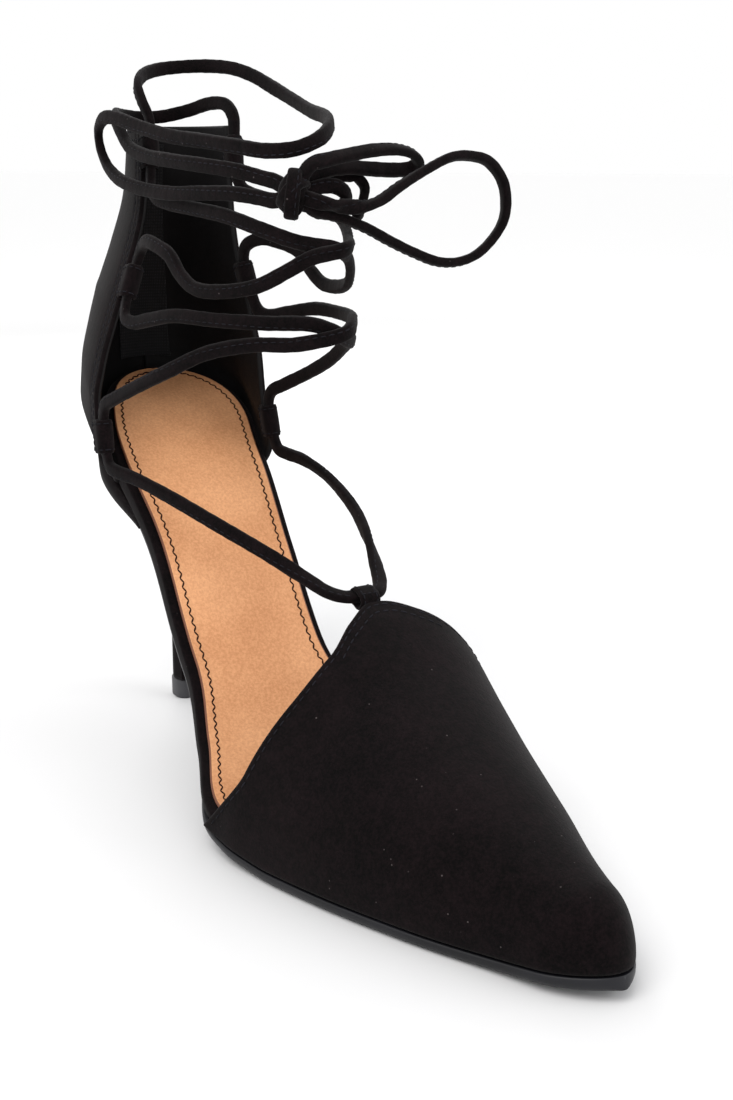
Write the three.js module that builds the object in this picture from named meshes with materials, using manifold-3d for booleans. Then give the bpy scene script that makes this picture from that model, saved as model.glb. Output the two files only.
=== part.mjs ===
// A lace-up stiletto court shoe in black suede, the right shoe of a pair.
// The pointed vamp and the tall heel cuff are two separate hollow walls on one arched sole.
// A narrow suede lace runs through a loop on the vamp and three loops on each front edge
// of the cuff, crosses over the instep, winds round the ankle and ends in a bow.
// Units are millimetres. +X points to the toe, +Y to the wearer's left (the inner side of
// this right shoe) and +Z up. The origin is the centre of the heel tip's underside.
import * as THREE from 'three';
import { mergeVertices } from 'three/addons/utils/BufferGeometryUtils.js';
import Module from 'manifold-3d';

const wasm = await Module();
wasm.setup();

// Driving dimensions of the last and the sole
const lastLength = 225.5;
const heelSetback = 29.5;
const seatHeight = 88;
const ballWidth = 76;
const instepHeight = 50;
const toeSpring = 3;
const toeRounding = 12;
const heelRounding = 34;
const outsoleThickness = 3;
const padThickness = 10.4;
const sockThickness = 0.9;
const sockMargin = 2.2;
const seam = 0.3;

// Driving dimensions of the upper
const wall = 1.9;
const edgeClearance = 0.6;
const cuffTop = 168.5;
const cuffReach = 21.5;
const backFullness = 0.82;
const ellipseStart = 0.16;
const ellipseFrom = 0.5;

// Driving dimensions of the heel
const heelFront = 26;
const heelInset = 0.4;
const seatWidest = 0.2;
const tipHeight = 6;
const tipLength = 8.8;
const tipWidth = 8.6;
const tipSquareness = 0.75;
const shankInset = 3.2;
const shankNarrow = 0.5;
const shankWide = 0.6;
const soleBevel = 0.5;
const footbedBevel = 0.6;
const sockBevel = 0.25;

// Driving dimensions of the zip at the centre back
const zipFoot = 0.2;
const slotWidth = 4.6;
const cutReach = 4;
const tapeThickness = 0.5;
const tapeMargin = 3;
const tapeSpread = 0.2;
const toothPitch = 3.2;
const toothRecess = 0.1;
const toothDepth = 0.5;
const crestStart = 0.2;
const crestEnd = 0.7;
const sliderLow = 3.2;
const neckHeight = 2.4;
const neckWidth = 2.4;
const plateWidth = 7.6;
const plateHeight = 8.5;
const plateThickness = 1.2;
const insidePlateWidth = 5;
const insidePlateGap = 0.9;
const pinRadius = 0.5;
const eyeRadius = 1.25;
const eyeHalf = 1.6;
const lugThickness = 0.8;
const leafThickness = 1.1;
const leafWidth = 4.8;
const leafShoulder = 1.2;
const tabLength = 30;
const tabSlotFoot = 0.9;
const tabSlotHead = 0.72;
const tabSlotWidth = 0.44;
const pinPlace = 0.35;
const join = 0.2;
const lugRim = 0.4;

// Driving dimensions of the lace and its loops
const loopLength = 9;
const peakLoopLength = 7;
const loopDepth = 7;
const loopHeight = 5.6;
const loopWall = 0.9;
const loopCorner = 1.4;
const laceDiameter = 3;
const crossingStep = 6.2;
const wrapStep = 7.5;
const bowStep = 6;

// Places of the lace loops up each front edge of the cuff, as shares of its height
const cuffLoops = [
  { level: 'low', up: 0.20 },
  { level: 'mid', up: 0.59 },
  { level: 'top', up: 0.92 },
];

// The lace from the vamp loop up through the cuff loops. outer and inner are the y of its
// strand on either side; where they agree the two strands cross and change sides.
const crossingRoute = [
  { x: 93.4, outer: 7.0, inner: 7.0, z: 55.7 },
  { x: 93.0, outer: 2.6, inner: 11.4, z: 55.7 },
  { x: 89.8, outer: -0.6, inner: 14.2, z: 56.5 },
  { x: 84.0, outer: -3.6, inner: 16.8, z: 58.9 },
  { x: 75.0, outer: -9.2, inner: 19.8, z: 63.6 },
  { x: 62.0, outer: -16.6, inner: 23.0, z: 69.2 },
  { x: 46.0, outer: -24.2, inner: 23.6, z: 75.0 },
  { x: 36.0, outer: -28.8, inner: 21.6, z: 78.0 },
  { x: 30.0, outer: -31.0, inner: 19.8, z: 78.8 },
  { x: 26.4, outer: -31.7, inner: 19.0, z: 79.6 },
  { x: 24.6, outer: -31.8, inner: 18.7, z: 82.2 },
  { x: 23.6, outer: -31.8, inner: 18.2, z: 87.5 },
  { x: 22.9, outer: -31.7, inner: 17.8, z: 92.6 },
  { x: 24.6, outer: -31.7, inner: 18.0, z: 96.0 },
  { x: 29.6, outer: -30.9, inner: 19.2, z: 98.4 },
  { x: 41.0, outer: -28.2, inner: 21.4, z: 103.3 },
  { x: 51.0, outer: -24.7, inner: 22.0, z: 107.8 },
  { x: 62.0, outer: -19.0, inner: 20.4, z: 113.2 },
  { x: 72.0, outer: -11.6, inner: 15.8, z: 115.8 },
  { x: 80.5, outer: -3.4, inner: 11.0, z: 116.4 },
  { x: 86.0, outer: 5.0, inner: 5.0, z: 119.0 },
  { x: 81.5, outer: -0.2, inner: 10.4, z: 121.0 },
  { x: 72.5, outer: -8.0, inner: 16.2, z: 120.9 },
  { x: 59.5, outer: -15.2, inner: 20.6, z: 120.8 },
  { x: 45.0, outer: -19.8, inner: 20.8, z: 120.8 },
  { x: 33.0, outer: -21.9, inner: 18.9, z: 118.8 },
  { x: 25.0, outer: -23.1, inner: 17.2, z: 117.4 },
  { x: 20.4, outer: -23.4, inner: 16.3, z: 118.4 },
  { x: 18.3, outer: -22.2, inner: 15.6, z: 122.0 },
  { x: 17.2, outer: -19.9, inner: 14.8, z: 127.4 },
  { x: 16.3, outer: -17.8, inner: 14.0, z: 132.4 },
  { x: 17.8, outer: -17.0, inner: 14.0, z: 136.0 },
  { x: 23.0, outer: -17.6, inner: 15.8, z: 138.2 },
  { x: 30.0, outer: -18.1, inner: 18.0, z: 137.6 },
  { x: 38.0, outer: -17.7, inner: 19.8, z: 135.4 },
  { x: 43.4, outer: -17.2, inner: 20.4, z: 130.9 },
  { x: 49.5, outer: -16.2, inner: 20.5, z: 127.9 },
  { x: 58.5, outer: -13.8, inner: 19.5, z: 127.6 },
  { x: 70.0, outer: -8.7, inner: 16.4, z: 129.6 },
  { x: 77.0, outer: -3.9, inner: 13.0, z: 133.6 },
  { x: 81.5, outer: 0.2, inner: 9.8, z: 136.8 },
  { x: 86.0, outer: 5.0, inner: 5.0, z: 138.6 },
  { x: 78.0, outer: -1.6, inner: 11.6, z: 140.0 },
  { x: 69.5, outer: -6.6, inner: 16.0, z: 142.6 },
  { x: 58.0, outer: -10.8, inner: 19.8, z: 145.6 },
  { x: 43.0, outer: -13.6, inner: 21.5, z: 147.2 },
  { x: 30.0, outer: -14.3, inner: 20.4, z: 148.2 },
  { x: 20.6, outer: -13.7, inner: 17.4, z: 149.4 },
  { x: 14.8, outer: -12.4, inner: 14.8, z: 151.6 },
  { x: 12.5, outer: -11.4, inner: 14.1, z: 155.6 },
  { x: 11.2, outer: -10.7, inner: 14.5, z: 161.2 },
  { x: 10.0, outer: -10.1, inner: 14.9, z: 166.2 },
];

// The lace's free parts: x, y and z of each point of its route
const wrapOuterRoute = [
  [9.9, -10.0, 166.7], [9.1, -9.9, 169.8], [7.4, -11.0, 174.0], [3.6, -10.6, 178.0],
  [-2.5, -6.5, 181.4], [-7.0, 0.0, 183.4], [-7.6, 7.0, 184.4], [-2.8, 13.0, 184.6],
  [4.6, 17.0, 183.8], [12.6, 19.4, 181.6], [22.2, 20.5, 178.2], [33.6, 20.5, 174.6],
  [47.0, 18.8, 171.2], [61.0, 15.2, 169.2], [71.6, 10.2, 166.6], [77.0, 4.2, 163.6],
  [77.2, -2.0, 161.4], [71.8, -6.8, 160.9], [63.8, -10.3, 161.9], [53.6, -13.2, 163.1],
  [38.0, -16.4, 164.6], [22.0, -18.4, 167.2], [10.0, -19.8, 169.6], [2.2, -20.2, 169.6],
  [-3.0, -19.8, 166.6], [-4.2, -19.0, 162.2], [-1.6, -18.4, 157.8], [4.8, -18.3, 154.6],
  [14.0, -18.3, 152.6], [24.0, -17.7, 151.4], [38.0, -16.3, 150.7], [51.0, -13.9, 151.0],
  [62.0, -10.8, 151.0], [69.6, -7.8, 150.2], [74.2, -5.8, 149.6],
];
const wrapInnerRoute = [
  [9.9, 14.9, 166.6], [8.8, 15.3, 170.6], [4.4, 15.2, 174.0], [-3.0, 13.8, 174.6],
  [-11.0, 10.4, 172.8], [-17.0, 4.6, 171.2], [-18.4, -2.0, 170.9], [-15.0, -8.0, 171.2],
  [-8.6, -12.4, 171.2], [-1.6, -15.2, 169.4], [5.0, -16.4, 166.0], [11.4, -16.9, 162.4],
  [21.6, -17.0, 160.1], [36.0, -16.2, 158.8], [51.0, -13.8, 157.6], [63.0, -10.3, 156.3],
  [70.0, -7.4, 154.8], [74.4, -5.6, 153.8],
];
const bowSmallRoute = [
  [81.6, -0.6, 157.6], [82.2, 4.0, 159.0], [82.2, 10.0, 160.2], [82.0, 17.3, 161.3],
  [81.5, 23.7, 161.4], [80.4, 28.6, 160.3], [78.4, 31.2, 158.4], [76.4, 30.6, 157.1],
  [75.7, 26.0, 156.7], [75.5, 20.0, 156.9], [75.5, 13.4, 157.2], [76.0, 6.5, 156.5],
  [77.0, 1.4, 154.8],
];
const bowLargeRoute = [
  [83.9, 0.6, 149.4], [84.5, 6.0, 148.5], [85.0, 11.7, 148.4], [85.0, 16.2, 149.6],
  [85.0, 21.8, 152.9], [85.0, 29.0, 156.6], [85.0, 36.7, 159.8], [85.0, 42.0, 160.1],
  [85.0, 47.5, 158.9], [85.0, 51.9, 154.6], [85.0, 53.3, 150.2], [85.0, 52.9, 145.0],
  [84.5, 50.2, 140.4], [84.0, 45.3, 136.3], [83.5, 40.0, 134.7], [83.0, 34.5, 134.9],
  [82.5, 27.8, 137.2], [82.0, 21.4, 140.0], [81.7, 13.8, 143.6], [81.3, 6.4, 146.0],
  [81.0, 1.4, 147.0],
];
const endNearRoute = [
  [79.4, 1.0, 152.2], [79.2, 4.4, 153.0], [79.3, 7.8, 152.8], [79.4, 10.2, 151.2],
  [79.3, 10.3, 149.4], [79.2, 9.2, 148.4],
];
const endFarRoute = [
  [75.9, -0.2, 151.6], [73.4, 5.0, 153.8], [72.4, 11.4, 155.4], [72.5, 16.8, 155.2],
  [73.6, 18.9, 152.8], [74.4, 18.0, 149.4], [75.0, 16.6, 146.6], [75.0, 15.1, 145.0],
];

// The knot of the bow: its centre, and its size along, across and up
const knotCentre = [79.2, -3.8, 151.2];
const knotSize = [7.6, 7.6, 11];

// Height of the joint between sole and footbed along the foot.
// along: share of lastLength from the heel end; rise: share of the seat's rise above the
// tread; pad: share of padThickness that the footbed has there.
const boardLine = [
  { along: 0.000, rise: 1.000, pad: 1.00 },
  { along: 0.072, rise: 0.961, pad: 0.80 },
  { along: 0.159, rise: 0.860, pad: 0.58 },
  { along: 0.204, rise: 0.791, pad: 0.46 },
  { along: 0.246, rise: 0.699, pad: 0.42 },
  { along: 0.290, rise: 0.570, pad: 0.41 },
  { along: 0.334, rise: 0.431, pad: 0.40 },
  { along: 0.380, rise: 0.302, pad: 0.37 },
  { along: 0.428, rise: 0.190, pad: 0.34 },
  { along: 0.476, rise: 0.115, pad: 0.31 },
  { along: 0.524, rise: 0.063, pad: 0.26 },
  { along: 0.571, rise: 0.029, pad: 0.23 },
  { along: 0.617, rise: 0.010, pad: 0.22 },
  { along: 0.663, rise: 0.000, pad: 0.21 },
  { along: 0.840, rise: 0.000, pad: 0.21 },
  { along: 1.000, rise: 0.000, pad: 0.21 },
];

// Plan outline of the last where upper meets sole, before its two ends are rounded.
// centre and half are shares of ballWidth, centre being positive towards the inner side.
const planOutline = [
  { along: 0.000, centre: 0.028, half: 0.335 },
  { along: 0.095, centre: 0.010, half: 0.338 },
  { along: 0.197, centre: -0.036, half: 0.326 },
  { along: 0.286, centre: -0.046, half: 0.302 },
  { along: 0.375, centre: -0.061, half: 0.303 },
  { along: 0.463, centre: -0.052, half: 0.380 },
  { along: 0.552, centre: -0.029, half: 0.487 },
  { along: 0.596, centre: 0.000, half: 0.497 },
  { along: 0.641, centre: 0.009, half: 0.476 },
  { along: 0.730, centre: 0.021, half: 0.407 },
  { along: 0.818, centre: 0.037, half: 0.318 },
  { along: 0.907, centre: 0.049, half: 0.204 },
  { along: 0.973, centre: 0.059, half: 0.130 },
  { along: 1.000, centre: 0.068, half: 0.104 },
];

// Sections of the vamp. ridge: share of ballWidth from the shoe's long axis to the crest;
// height: share of instepHeight; outer and inner: how full each flank is, 2 an ellipse.
const vampSections = [
  { along: 0.530, ridge: 0.092, height: 1.00, outer: 1.8, inner: 3.0 },
  { along: 0.574, ridge: 0.092, height: 0.97, outer: 1.8, inner: 3.0 },
  { along: 0.619, ridge: 0.090, height: 0.89, outer: 1.9, inner: 2.8 },
  { along: 0.685, ridge: 0.085, height: 0.75, outer: 2.0, inner: 2.5 },
  { along: 0.752, ridge: 0.080, height: 0.62, outer: 2.1, inner: 2.3 },
  { along: 0.818, ridge: 0.076, height: 0.51, outer: 2.2, inner: 2.2 },
  { along: 0.885, ridge: 0.072, height: 0.40, outer: 2.2, inner: 2.2 },
  { along: 0.942, ridge: 0.070, height: 0.32, outer: 2.2, inner: 2.2 },
  { along: 1.000, ridge: 0.068, height: 0.26, outer: 2.2, inner: 2.2 },
];

// Top edge of the vamp. around: 0 at the outer sole edge, 0.5 on the crest, 1 at the inner
// sole edge; along: share of lastLength. The crest is a peak that carries the lace loop.
const vampTopline = [
  { around: 0.00, along: 0.557 },
  { around: 0.06, along: 0.581 },
  { around: 0.14, along: 0.605 },
  { around: 0.27, along: 0.610 },
  { around: 0.37, along: 0.600 },
  { around: 0.43, along: 0.579 },
  { around: 0.50, along: 0.561 },
  { around: 0.57, along: 0.577 },
  { around: 0.66, along: 0.590 },
  { around: 0.78, along: 0.600 },
  { around: 0.90, along: 0.583 },
  { around: 1.00, along: 0.552 },
];

// Sections of the heel cuff from its lower edge up. up: share of the cuff's height there;
// back: share of heelSetback; front: share of cuffReach; outer and inner: shares of the
// plan outline's half width.
const cuffSections = [
  { up: 0.00, back: 1.000, front: 1.00, outer: 1.00, inner: 1.00 },
  { up: 0.07, back: 1.035, front: 0.99, outer: 1.07, inner: 1.00 },
  { up: 0.12, back: 1.052, front: 0.97, outer: 1.16, inner: 0.99 },
  { up: 0.19, back: 1.060, front: 0.93, outer: 1.25, inner: 0.92 },
  { up: 0.28, back: 1.050, front: 0.87, outer: 1.25, inner: 0.89 },
  { up: 0.38, back: 1.000, front: 0.81, outer: 1.16, inner: 0.87 },
  { up: 0.50, back: 0.915, front: 0.71, outer: 0.97, inner: 0.79 },
  { up: 0.62, back: 0.830, front: 0.60, outer: 0.77, inner: 0.69 },
  { up: 0.79, back: 0.735, front: 0.48, outer: 0.54, inner: 0.63 },
  { up: 1.00, back: 0.640, front: 0.26, outer: 0.44, inner: 0.66 },
];

// Outline of the covered heel, from its foot up to the breast's lip.
// up: share of the heel's height at its back; back: share of heelSetback; front: share of
// heelFront; frontUp: share of the height at the breast; half: share of the seat's half width.
const heelSections = [
  { up: 0.00, back: 0.142, front: 0.177, frontUp: 0.000, half: 0.176 },
  { up: 0.15, back: 0.136, front: 0.188, frontUp: 0.220, half: 0.181 },
  { up: 0.32, back: 0.153, front: 0.204, frontUp: 0.450, half: 0.201 },
  { up: 0.46, back: 0.203, front: 0.231, frontUp: 0.620, half: 0.250 },
  { up: 0.60, back: 0.325, front: 0.285, frontUp: 0.760, half: 0.361 },
  { up: 0.72, back: 0.495, front: 0.369, frontUp: 0.850, half: 0.509 },
  { up: 0.82, back: 0.671, front: 0.500, frontUp: 0.910, half: 0.689 },
  { up: 0.91, back: 0.834, front: 0.677, frontUp: 0.945, half: 0.862 },
  { up: 0.97, back: 0.936, front: 0.869, frontUp: 0.965, half: 0.968 },
];

// Smooth curves through the tables

function curveThrough(rows, key, column) {
  const count = rows.length;
  const slope = [];
  for (let i = 0; i < count - 1; i += 1) {
    slope.push((rows[i + 1][column] - rows[i][column]) / (rows[i + 1][key] - rows[i][key]));
  }
  const tangent = rows.map((row, i) => {
    if (i === 0) return slope[0];
    if (i === count - 1) return slope[count - 2];
    const before = slope[i - 1];
    const after = slope[i];
    return before * after <= 0 ? 0 : (2 * before * after) / (before + after);
  });
  return (place) => {
    let i = 0;
    while (i < count - 2 && place > rows[i + 1][key]) i += 1;
    const span = rows[i + 1][key] - rows[i][key];
    const t = Math.min(Math.max((place - rows[i][key]) / span, 0), 1);
    const start = rows[i][column];
    const end = rows[i + 1][column];
    const rise = t * t * (3 - 2 * t);
    const bend = span * (tangent[i] * t * (1 - t) ** 2 - tangent[i + 1] * t * t * (1 - t));
    return start + (end - start) * rise + bend;
  };
}

const heelEnd = -heelSetback;
const toeEnd = lastLength - heelSetback;
const treadLine = outsoleThickness + seam / 2;
const alongOf = (x) => (x - heelEnd) / lastLength;
const xAt = (along) => heelEnd + along * lastLength;

const boardRise = curveThrough(boardLine, 'along', 'rise');
const boardPad = curveThrough(boardLine, 'along', 'pad');
const planCentre = curveThrough(planOutline, 'along', 'centre');
const planHalf = curveThrough(planOutline, 'along', 'half');
const springStart = xAt(boardLine[boardLine.length - 2].along);

function boardHeight(x) {
  const spring = Math.max(0, (x - springStart) / (toeEnd - springStart)) ** 2 * toeSpring;
  return treadLine + boardRise(alongOf(x)) * (seatHeight - treadLine) + spring;
}

// The plan outline closes at each end like an ellipse; inset moves it inwards.
function endRounding(x, inset) {
  const toeStart = toeEnd - toeRounding;
  const heelStart = heelEnd + heelRounding;
  let reach = 0;
  if (x > toeStart) reach = (x - toeStart) / (toeEnd - inset - toeStart);
  if (x < heelStart) reach = (heelStart - x) / (heelStart - heelEnd - inset);
  return Math.sqrt(Math.max(0, 1 - Math.min(1, reach) ** 2));
}

function outlineAt(x, inset) {
  const centre = planCentre(alongOf(x)) * ballWidth;
  const half = (planHalf(alongOf(x)) * ballWidth - inset) * endRounding(x, inset);
  return { centre, half, outer: centre - half, inner: centre + half };
}

// Closed meshes from grids of points

function solidFrom(triangles) {
  const geometry = new THREE.BufferGeometry();
  geometry.setAttribute('position', new THREE.Float32BufferAttribute(triangles.flat(), 3));
  const merged = mergeVertices(geometry, 1e-3);
  const index = merged.index.array;
  const kept = [];
  for (let i = 0; i < index.length; i += 3) {
    const [a, b, c] = [index[i], index[i + 1], index[i + 2]];
    if (a !== b && b !== c && c !== a) kept.push(a, b, c);
  }
  merged.setIndex(kept);
  return merged;
}

const spot = (x, y, z) => [x, y, z];

// Rows of points joined into a skin; flip turns its faces round.
function skin(rows, flip = false) {
  const faces = [];
  for (let i = 0; i < rows.length - 1; i += 1) {
    for (let j = 0; j < rows[i].length - 1; j += 1) {
      const [a, b, c, d] = [rows[i][j], rows[i][j + 1], rows[i + 1][j + 1], rows[i + 1][j]];
      if (flip) faces.push([...a, ...c, ...b], [...a, ...d, ...c]);
      else faces.push([...a, ...b, ...c], [...a, ...c, ...d]);
    }
  }
  return faces;
}

// A bar whose cross sections are closed rings, with both end sections filled.
function barFrom(rings) {
  const closed = rings.map((ring) => [...ring, ring[0]]);
  const faces = skin(closed, true);
  const fan = (ring, flip) => {
    for (let j = 1; j < ring.length - 1; j += 1) {
      const [a, b, c] = [ring[0], ring[j], ring[j + 1]];
      faces.push(flip ? [...a, ...c, ...b] : [...a, ...b, ...c]);
    }
  };
  fan(rings[0], false);
  fan(rings[rings.length - 1], true);
  return solidFrom(faces);
}

// A wall between an outer and an inner skin of the same grid, open inside its four rims.
function wallFrom(outer, inner) {
  const last = outer.length - 1;
  const column = (rows, j) => rows.map((row) => row[j]);
  const end = outer[0].length - 1;
  return solidFrom([
    ...skin(outer, true),
    ...skin(inner),
    ...skin([outer[0], inner[0]]),
    ...skin([inner[last], outer[last]]),
    ...skin([column(inner, 0), column(outer, 0)]),
    ...skin([column(outer, end), column(inner, end)]),
  ]);
}

function toManifold(geometry) {
  const bare = new THREE.BufferGeometry();
  bare.setAttribute('position', geometry.attributes.position);
  bare.setIndex(geometry.index);
  const flat = mergeVertices(bare, 1e-4);
  return new wasm.Manifold(new wasm.Mesh({
    numProp: 3,
    vertProperties: new Float32Array(flat.attributes.position.array),
    triVerts: new Uint32Array(flat.index.array),
  }));
}

function fromManifold(body) {
  const mesh = body.getMesh();
  const geometry = new THREE.BufferGeometry();
  geometry.setAttribute('position', new THREE.BufferAttribute(mesh.vertProperties, 3));
  geometry.setIndex(new THREE.BufferAttribute(mesh.triVerts, 1));
  return geometry;
}

// Materials
const suede = new THREE.MeshStandardMaterial({ color: 0x17151a, roughness: 0.95 });
const sockLeather = new THREE.MeshStandardMaterial({ color: 0xdca06c, roughness: 0.6 });
const soleRubber = new THREE.MeshStandardMaterial({ color: 0x2c2d33, roughness: 0.45 });
const tipPlastic = new THREE.MeshStandardMaterial({ color: 0x3a3a3e, roughness: 0.5 });
const zipMetal = new THREE.MeshStandardMaterial({ color: 0x2a2a2c, roughness: 0.35, metalness: 0.8 });

const shoe = new THREE.Group();

function addPiece(name, geometry, material) {
  const piece = new THREE.Mesh(geometry, material);
  piece.name = name;
  shoe.add(piece);
}

// Sole, footbed and sock are layers that follow the board line

function stationsBetween(start, end, count) {
  return Array.from({ length: count + 1 }, (_, i) => (
    start + (end - start) * (1 - Math.cos((Math.PI * i) / count)) / 2));
}

function lift(x, offset) {
  const slope = (boardHeight(x + 0.5) - boardHeight(x - 0.5));
  const length = Math.hypot(1, slope);
  return { x: x - (slope / length) * offset, z: boardHeight(x) + offset / length };
}

// One layer between two offsets from the board line, its upper and lower edges bevelled.
function layer(stations, inset, low, high, bevel) {
  const rings = stations.map((x) => {
    const { outer, inner, half } = outlineAt(x, inset(x));
    const corner = Math.min(bevel, half * 0.5);
    const levels = [low(x), low(x) + bevel, high(x) - bevel, high(x)].map((v) => lift(x, v));
    const [base, under, over, top] = levels;
    return [
      spot(base.x, outer + corner, base.z),
      spot(under.x, outer, under.z),
      spot(over.x, outer, over.z),
      spot(top.x, outer + corner, top.z),
      spot(top.x, inner - corner, top.z),
      spot(over.x, inner, over.z),
      spot(under.x, inner, under.z),
      spot(base.x, inner - corner, base.z),
    ];
  });
  return barFrom(rings);
}

const footbedInset = wall + edgeClearance;
const sockInset = footbedInset + sockMargin;
const padAt = (x) => boardPad(alongOf(x)) * padThickness;
const endGap = 0.02;

function soleInset(x) {
  const narrowing = (xAt(shankWide) - x) / (xAt(shankWide) - xAt(shankNarrow));
  const waist = Math.min(Math.max(narrowing, 0), 1);
  return shankInset * waist * waist * (3 - 2 * waist);
}

addPiece('outsole', layer(
  stationsBetween(heelFront + seam, toeEnd - endGap, 28),
  soleInset,
  () => -seam / 2 - outsoleThickness,
  () => -seam / 2,
  soleBevel,
), soleRubber);

addPiece('footbed', layer(
  stationsBetween(heelEnd + footbedInset + endGap, toeEnd - footbedInset - endGap, 32),
  () => footbedInset,
  () => seam / 2,
  (x) => seam / 2 + padAt(x),
  footbedBevel,
), suede);

addPiece('sock_lining', layer(
  stationsBetween(heelEnd + sockInset + endGap, toeEnd - sockInset - endGap, 32),
  () => sockInset,
  (x) => seam * 1.5 + padAt(x),
  (x) => seam * 1.5 + padAt(x) + sockThickness,
  sockBevel,
), sockLeather);

// Heel: half outlines from back to breast, mirrored in one closed ring

function heelShape() {
  const topBase = tipHeight + seam;
  const heelTop = boardHeight(heelEnd) - topBase;
  const sideCount = 12;
  const steps = Array.from({ length: sideCount + 1 }, (_, i) => i / sideCount);
  const depthShare = (step) => 1 - Math.cos((step * Math.PI) / 2);
  const fullLength = heelFront - heelEnd - heelInset;
  const topX = (step) => heelEnd + heelInset + fullLength * depthShare(step);
  const ringAt = (pointOf) => [
    ...steps.map((step) => pointOf(step, 'outer')),
    ...steps.slice(1).reverse().map((step) => pointOf(step, 'inner')),
  ];
  const seat = outlineAt(xAt(seatWidest), heelInset).half;
  const rings = heelSections.map((row) => ringAt((step, side) => {
    const outline = outlineAt(topX(step), heelInset);
    const shareY = (outline[side] - outline.centre) / seat;
    const shift = outline.centre * row.up ** 2;
    const share = depthShare(step);
    const back = -row.back * heelSetback;
    const x = back + (row.front * heelFront - back) * share;
    const backZ = row.up * heelTop;
    const frontZ = row.frontUp * (boardHeight(heelFront) - topBase);
    return spot(x, shareY * row.half * seat + shift, topBase + backZ + (frontZ - backZ) * share);
  }));
  rings.push(ringAt((step, side) => {
    const x = topX(step);
    return spot(x, outlineAt(x, heelInset)[side], boardHeight(x) - seam / 2);
  }));
  const last = rings.length - 1;
  const closed = rings.map((ring) => [...ring, ring[0]]);
  const across = (ring) => steps.map((_, i) => [
    ring[i], i === 0 ? ring[0] : ring[ring.length - i]]);
  return solidFrom([
    ...skin(closed),
    ...skin(across(rings[0])),
    ...skin(across(rings[last]), true),
  ]);
}

addPiece('heel', heelShape(), suede);

function tipShape() {
  const points = [];
  const sides = 24;
  for (let i = 0; i < sides; i += 1) {
    const angle = (i / sides) * 2 * Math.PI;
    const x = Math.sign(Math.cos(angle)) * Math.abs(Math.cos(angle)) ** tipSquareness * tipLength / 2;
    const y = Math.sign(Math.sin(angle)) * Math.abs(Math.sin(angle)) ** tipSquareness * tipWidth / 2;
    points.push(new THREE.Vector2(x, y));
  }
  return new THREE.ExtrudeGeometry(new THREE.Shape(points), {
    depth: tipHeight, bevelEnabled: false, steps: 1, curveSegments: 1,
  });
}

addPiece('heel_tip', tipShape(), tipPlastic);

// Vamp

const vampRidge = curveThrough(vampSections, 'along', 'ridge');
const vampHeight = curveThrough(vampSections, 'along', 'height');
const outerFullness = curveThrough(vampSections, 'along', 'outer');
const innerFullness = curveThrough(vampSections, 'along', 'inner');
const toplineAt = curveThrough(vampTopline, 'around', 'along');

function vampPoint(x, around, inset) {
  const along = alongOf(x);
  const outline = outlineAt(x, inset);
  const rounding = endRounding(x, inset);
  const fullRidge = vampRidge(along) * ballWidth;
  const ridge = outline.centre + (fullRidge - outline.centre) * rounding;
  const height = (vampHeight(along) * instepHeight - inset) * rounding;
  const angle = around * Math.PI;
  const side = around < 0.5 ? outline.outer : outline.inner;
  const power = 2 / (around < 0.5 ? outerFullness(along) : innerFullness(along));
  const spread = Math.abs(Math.cos(angle)) ** power;
  const rise = Math.abs(Math.sin(angle)) ** power;
  return spot(x, ridge + (side - ridge) * spread, boardHeight(x) + seam / 2 + height * rise);
}

function vampSkin(inset) {
  const rowCount = 14;
  const columnCount = 26;
  return Array.from({ length: rowCount + 1 }, (_, i) => (
    Array.from({ length: columnCount + 1 }, (__, j) => {
      const around = j / columnCount;
      const start = xAt(toplineAt(around));
      const share = Math.sin((i / rowCount) * (Math.PI / 2));
      return vampPoint(start + (toeEnd - inset - start) * share, around, inset);
    })));
}

addPiece('vamp', wallFrom(vampSkin(0), vampSkin(wall)), suede);

// Heel cuff

const cuffBack = curveThrough(cuffSections, 'up', 'back');
const cuffFront = curveThrough(cuffSections, 'up', 'front');
const cuffOuter = curveThrough(cuffSections, 'up', 'outer');
const cuffInner = curveThrough(cuffSections, 'up', 'inner');

// around: -1 at the outer front edge, 0 at the centre back, 1 at the inner front edge.
// In plan the wall follows the footbed at its lower edge and half an ellipse higher up, and
// a flank wider than the footbed splays only towards its front edge.
function cuffPoint(around, up) {
  const angle = Math.abs(around) * (Math.PI / 2);
  const share = 1 - Math.cos(angle);
  const baseX = heelEnd + (cuffReach - heelEnd) * share;
  const outline = outlineAt(baseX, 0);
  const blend = Math.min(1, Math.max(0, (up - ellipseStart) / (ellipseFrom - ellipseStart)));
  const ellipse = outlineAt(cuffReach, 0).half * Math.sin(angle) ** backFullness;
  const flank = outline.half + (ellipse - outline.half) * blend;
  const edgeRatio = around < 0 ? cuffOuter(up) : cuffInner(up);
  const backRatio = Math.min(1, edgeRatio);
  const ratio = backRatio + (edgeRatio - backRatio) * share;
  const y = outline.centre * (1 - up) + Math.sign(around) * flank * ratio;
  const back = -cuffBack(up) * heelSetback;
  const front = cuffFront(up) * cuffReach;
  const base = boardHeight(baseX) + seam / 2;
  return new THREE.Vector3(back + (front - back) * share, y, base + (cuffTop - base) * up);
}

// The same wall moved inwards by depth, square to it in plan.
function cuffInside(around, up, depth) {
  const step = 0.01;
  const ahead = cuffPoint(Math.min(around + step, 1), up);
  const behind = cuffPoint(Math.max(around - step, -1), up);
  const run = ahead.sub(behind).setZ(0).normalize();
  return cuffPoint(around, up).add(new THREE.Vector3(-run.y, run.x, 0).multiplyScalar(-depth));
}

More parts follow.
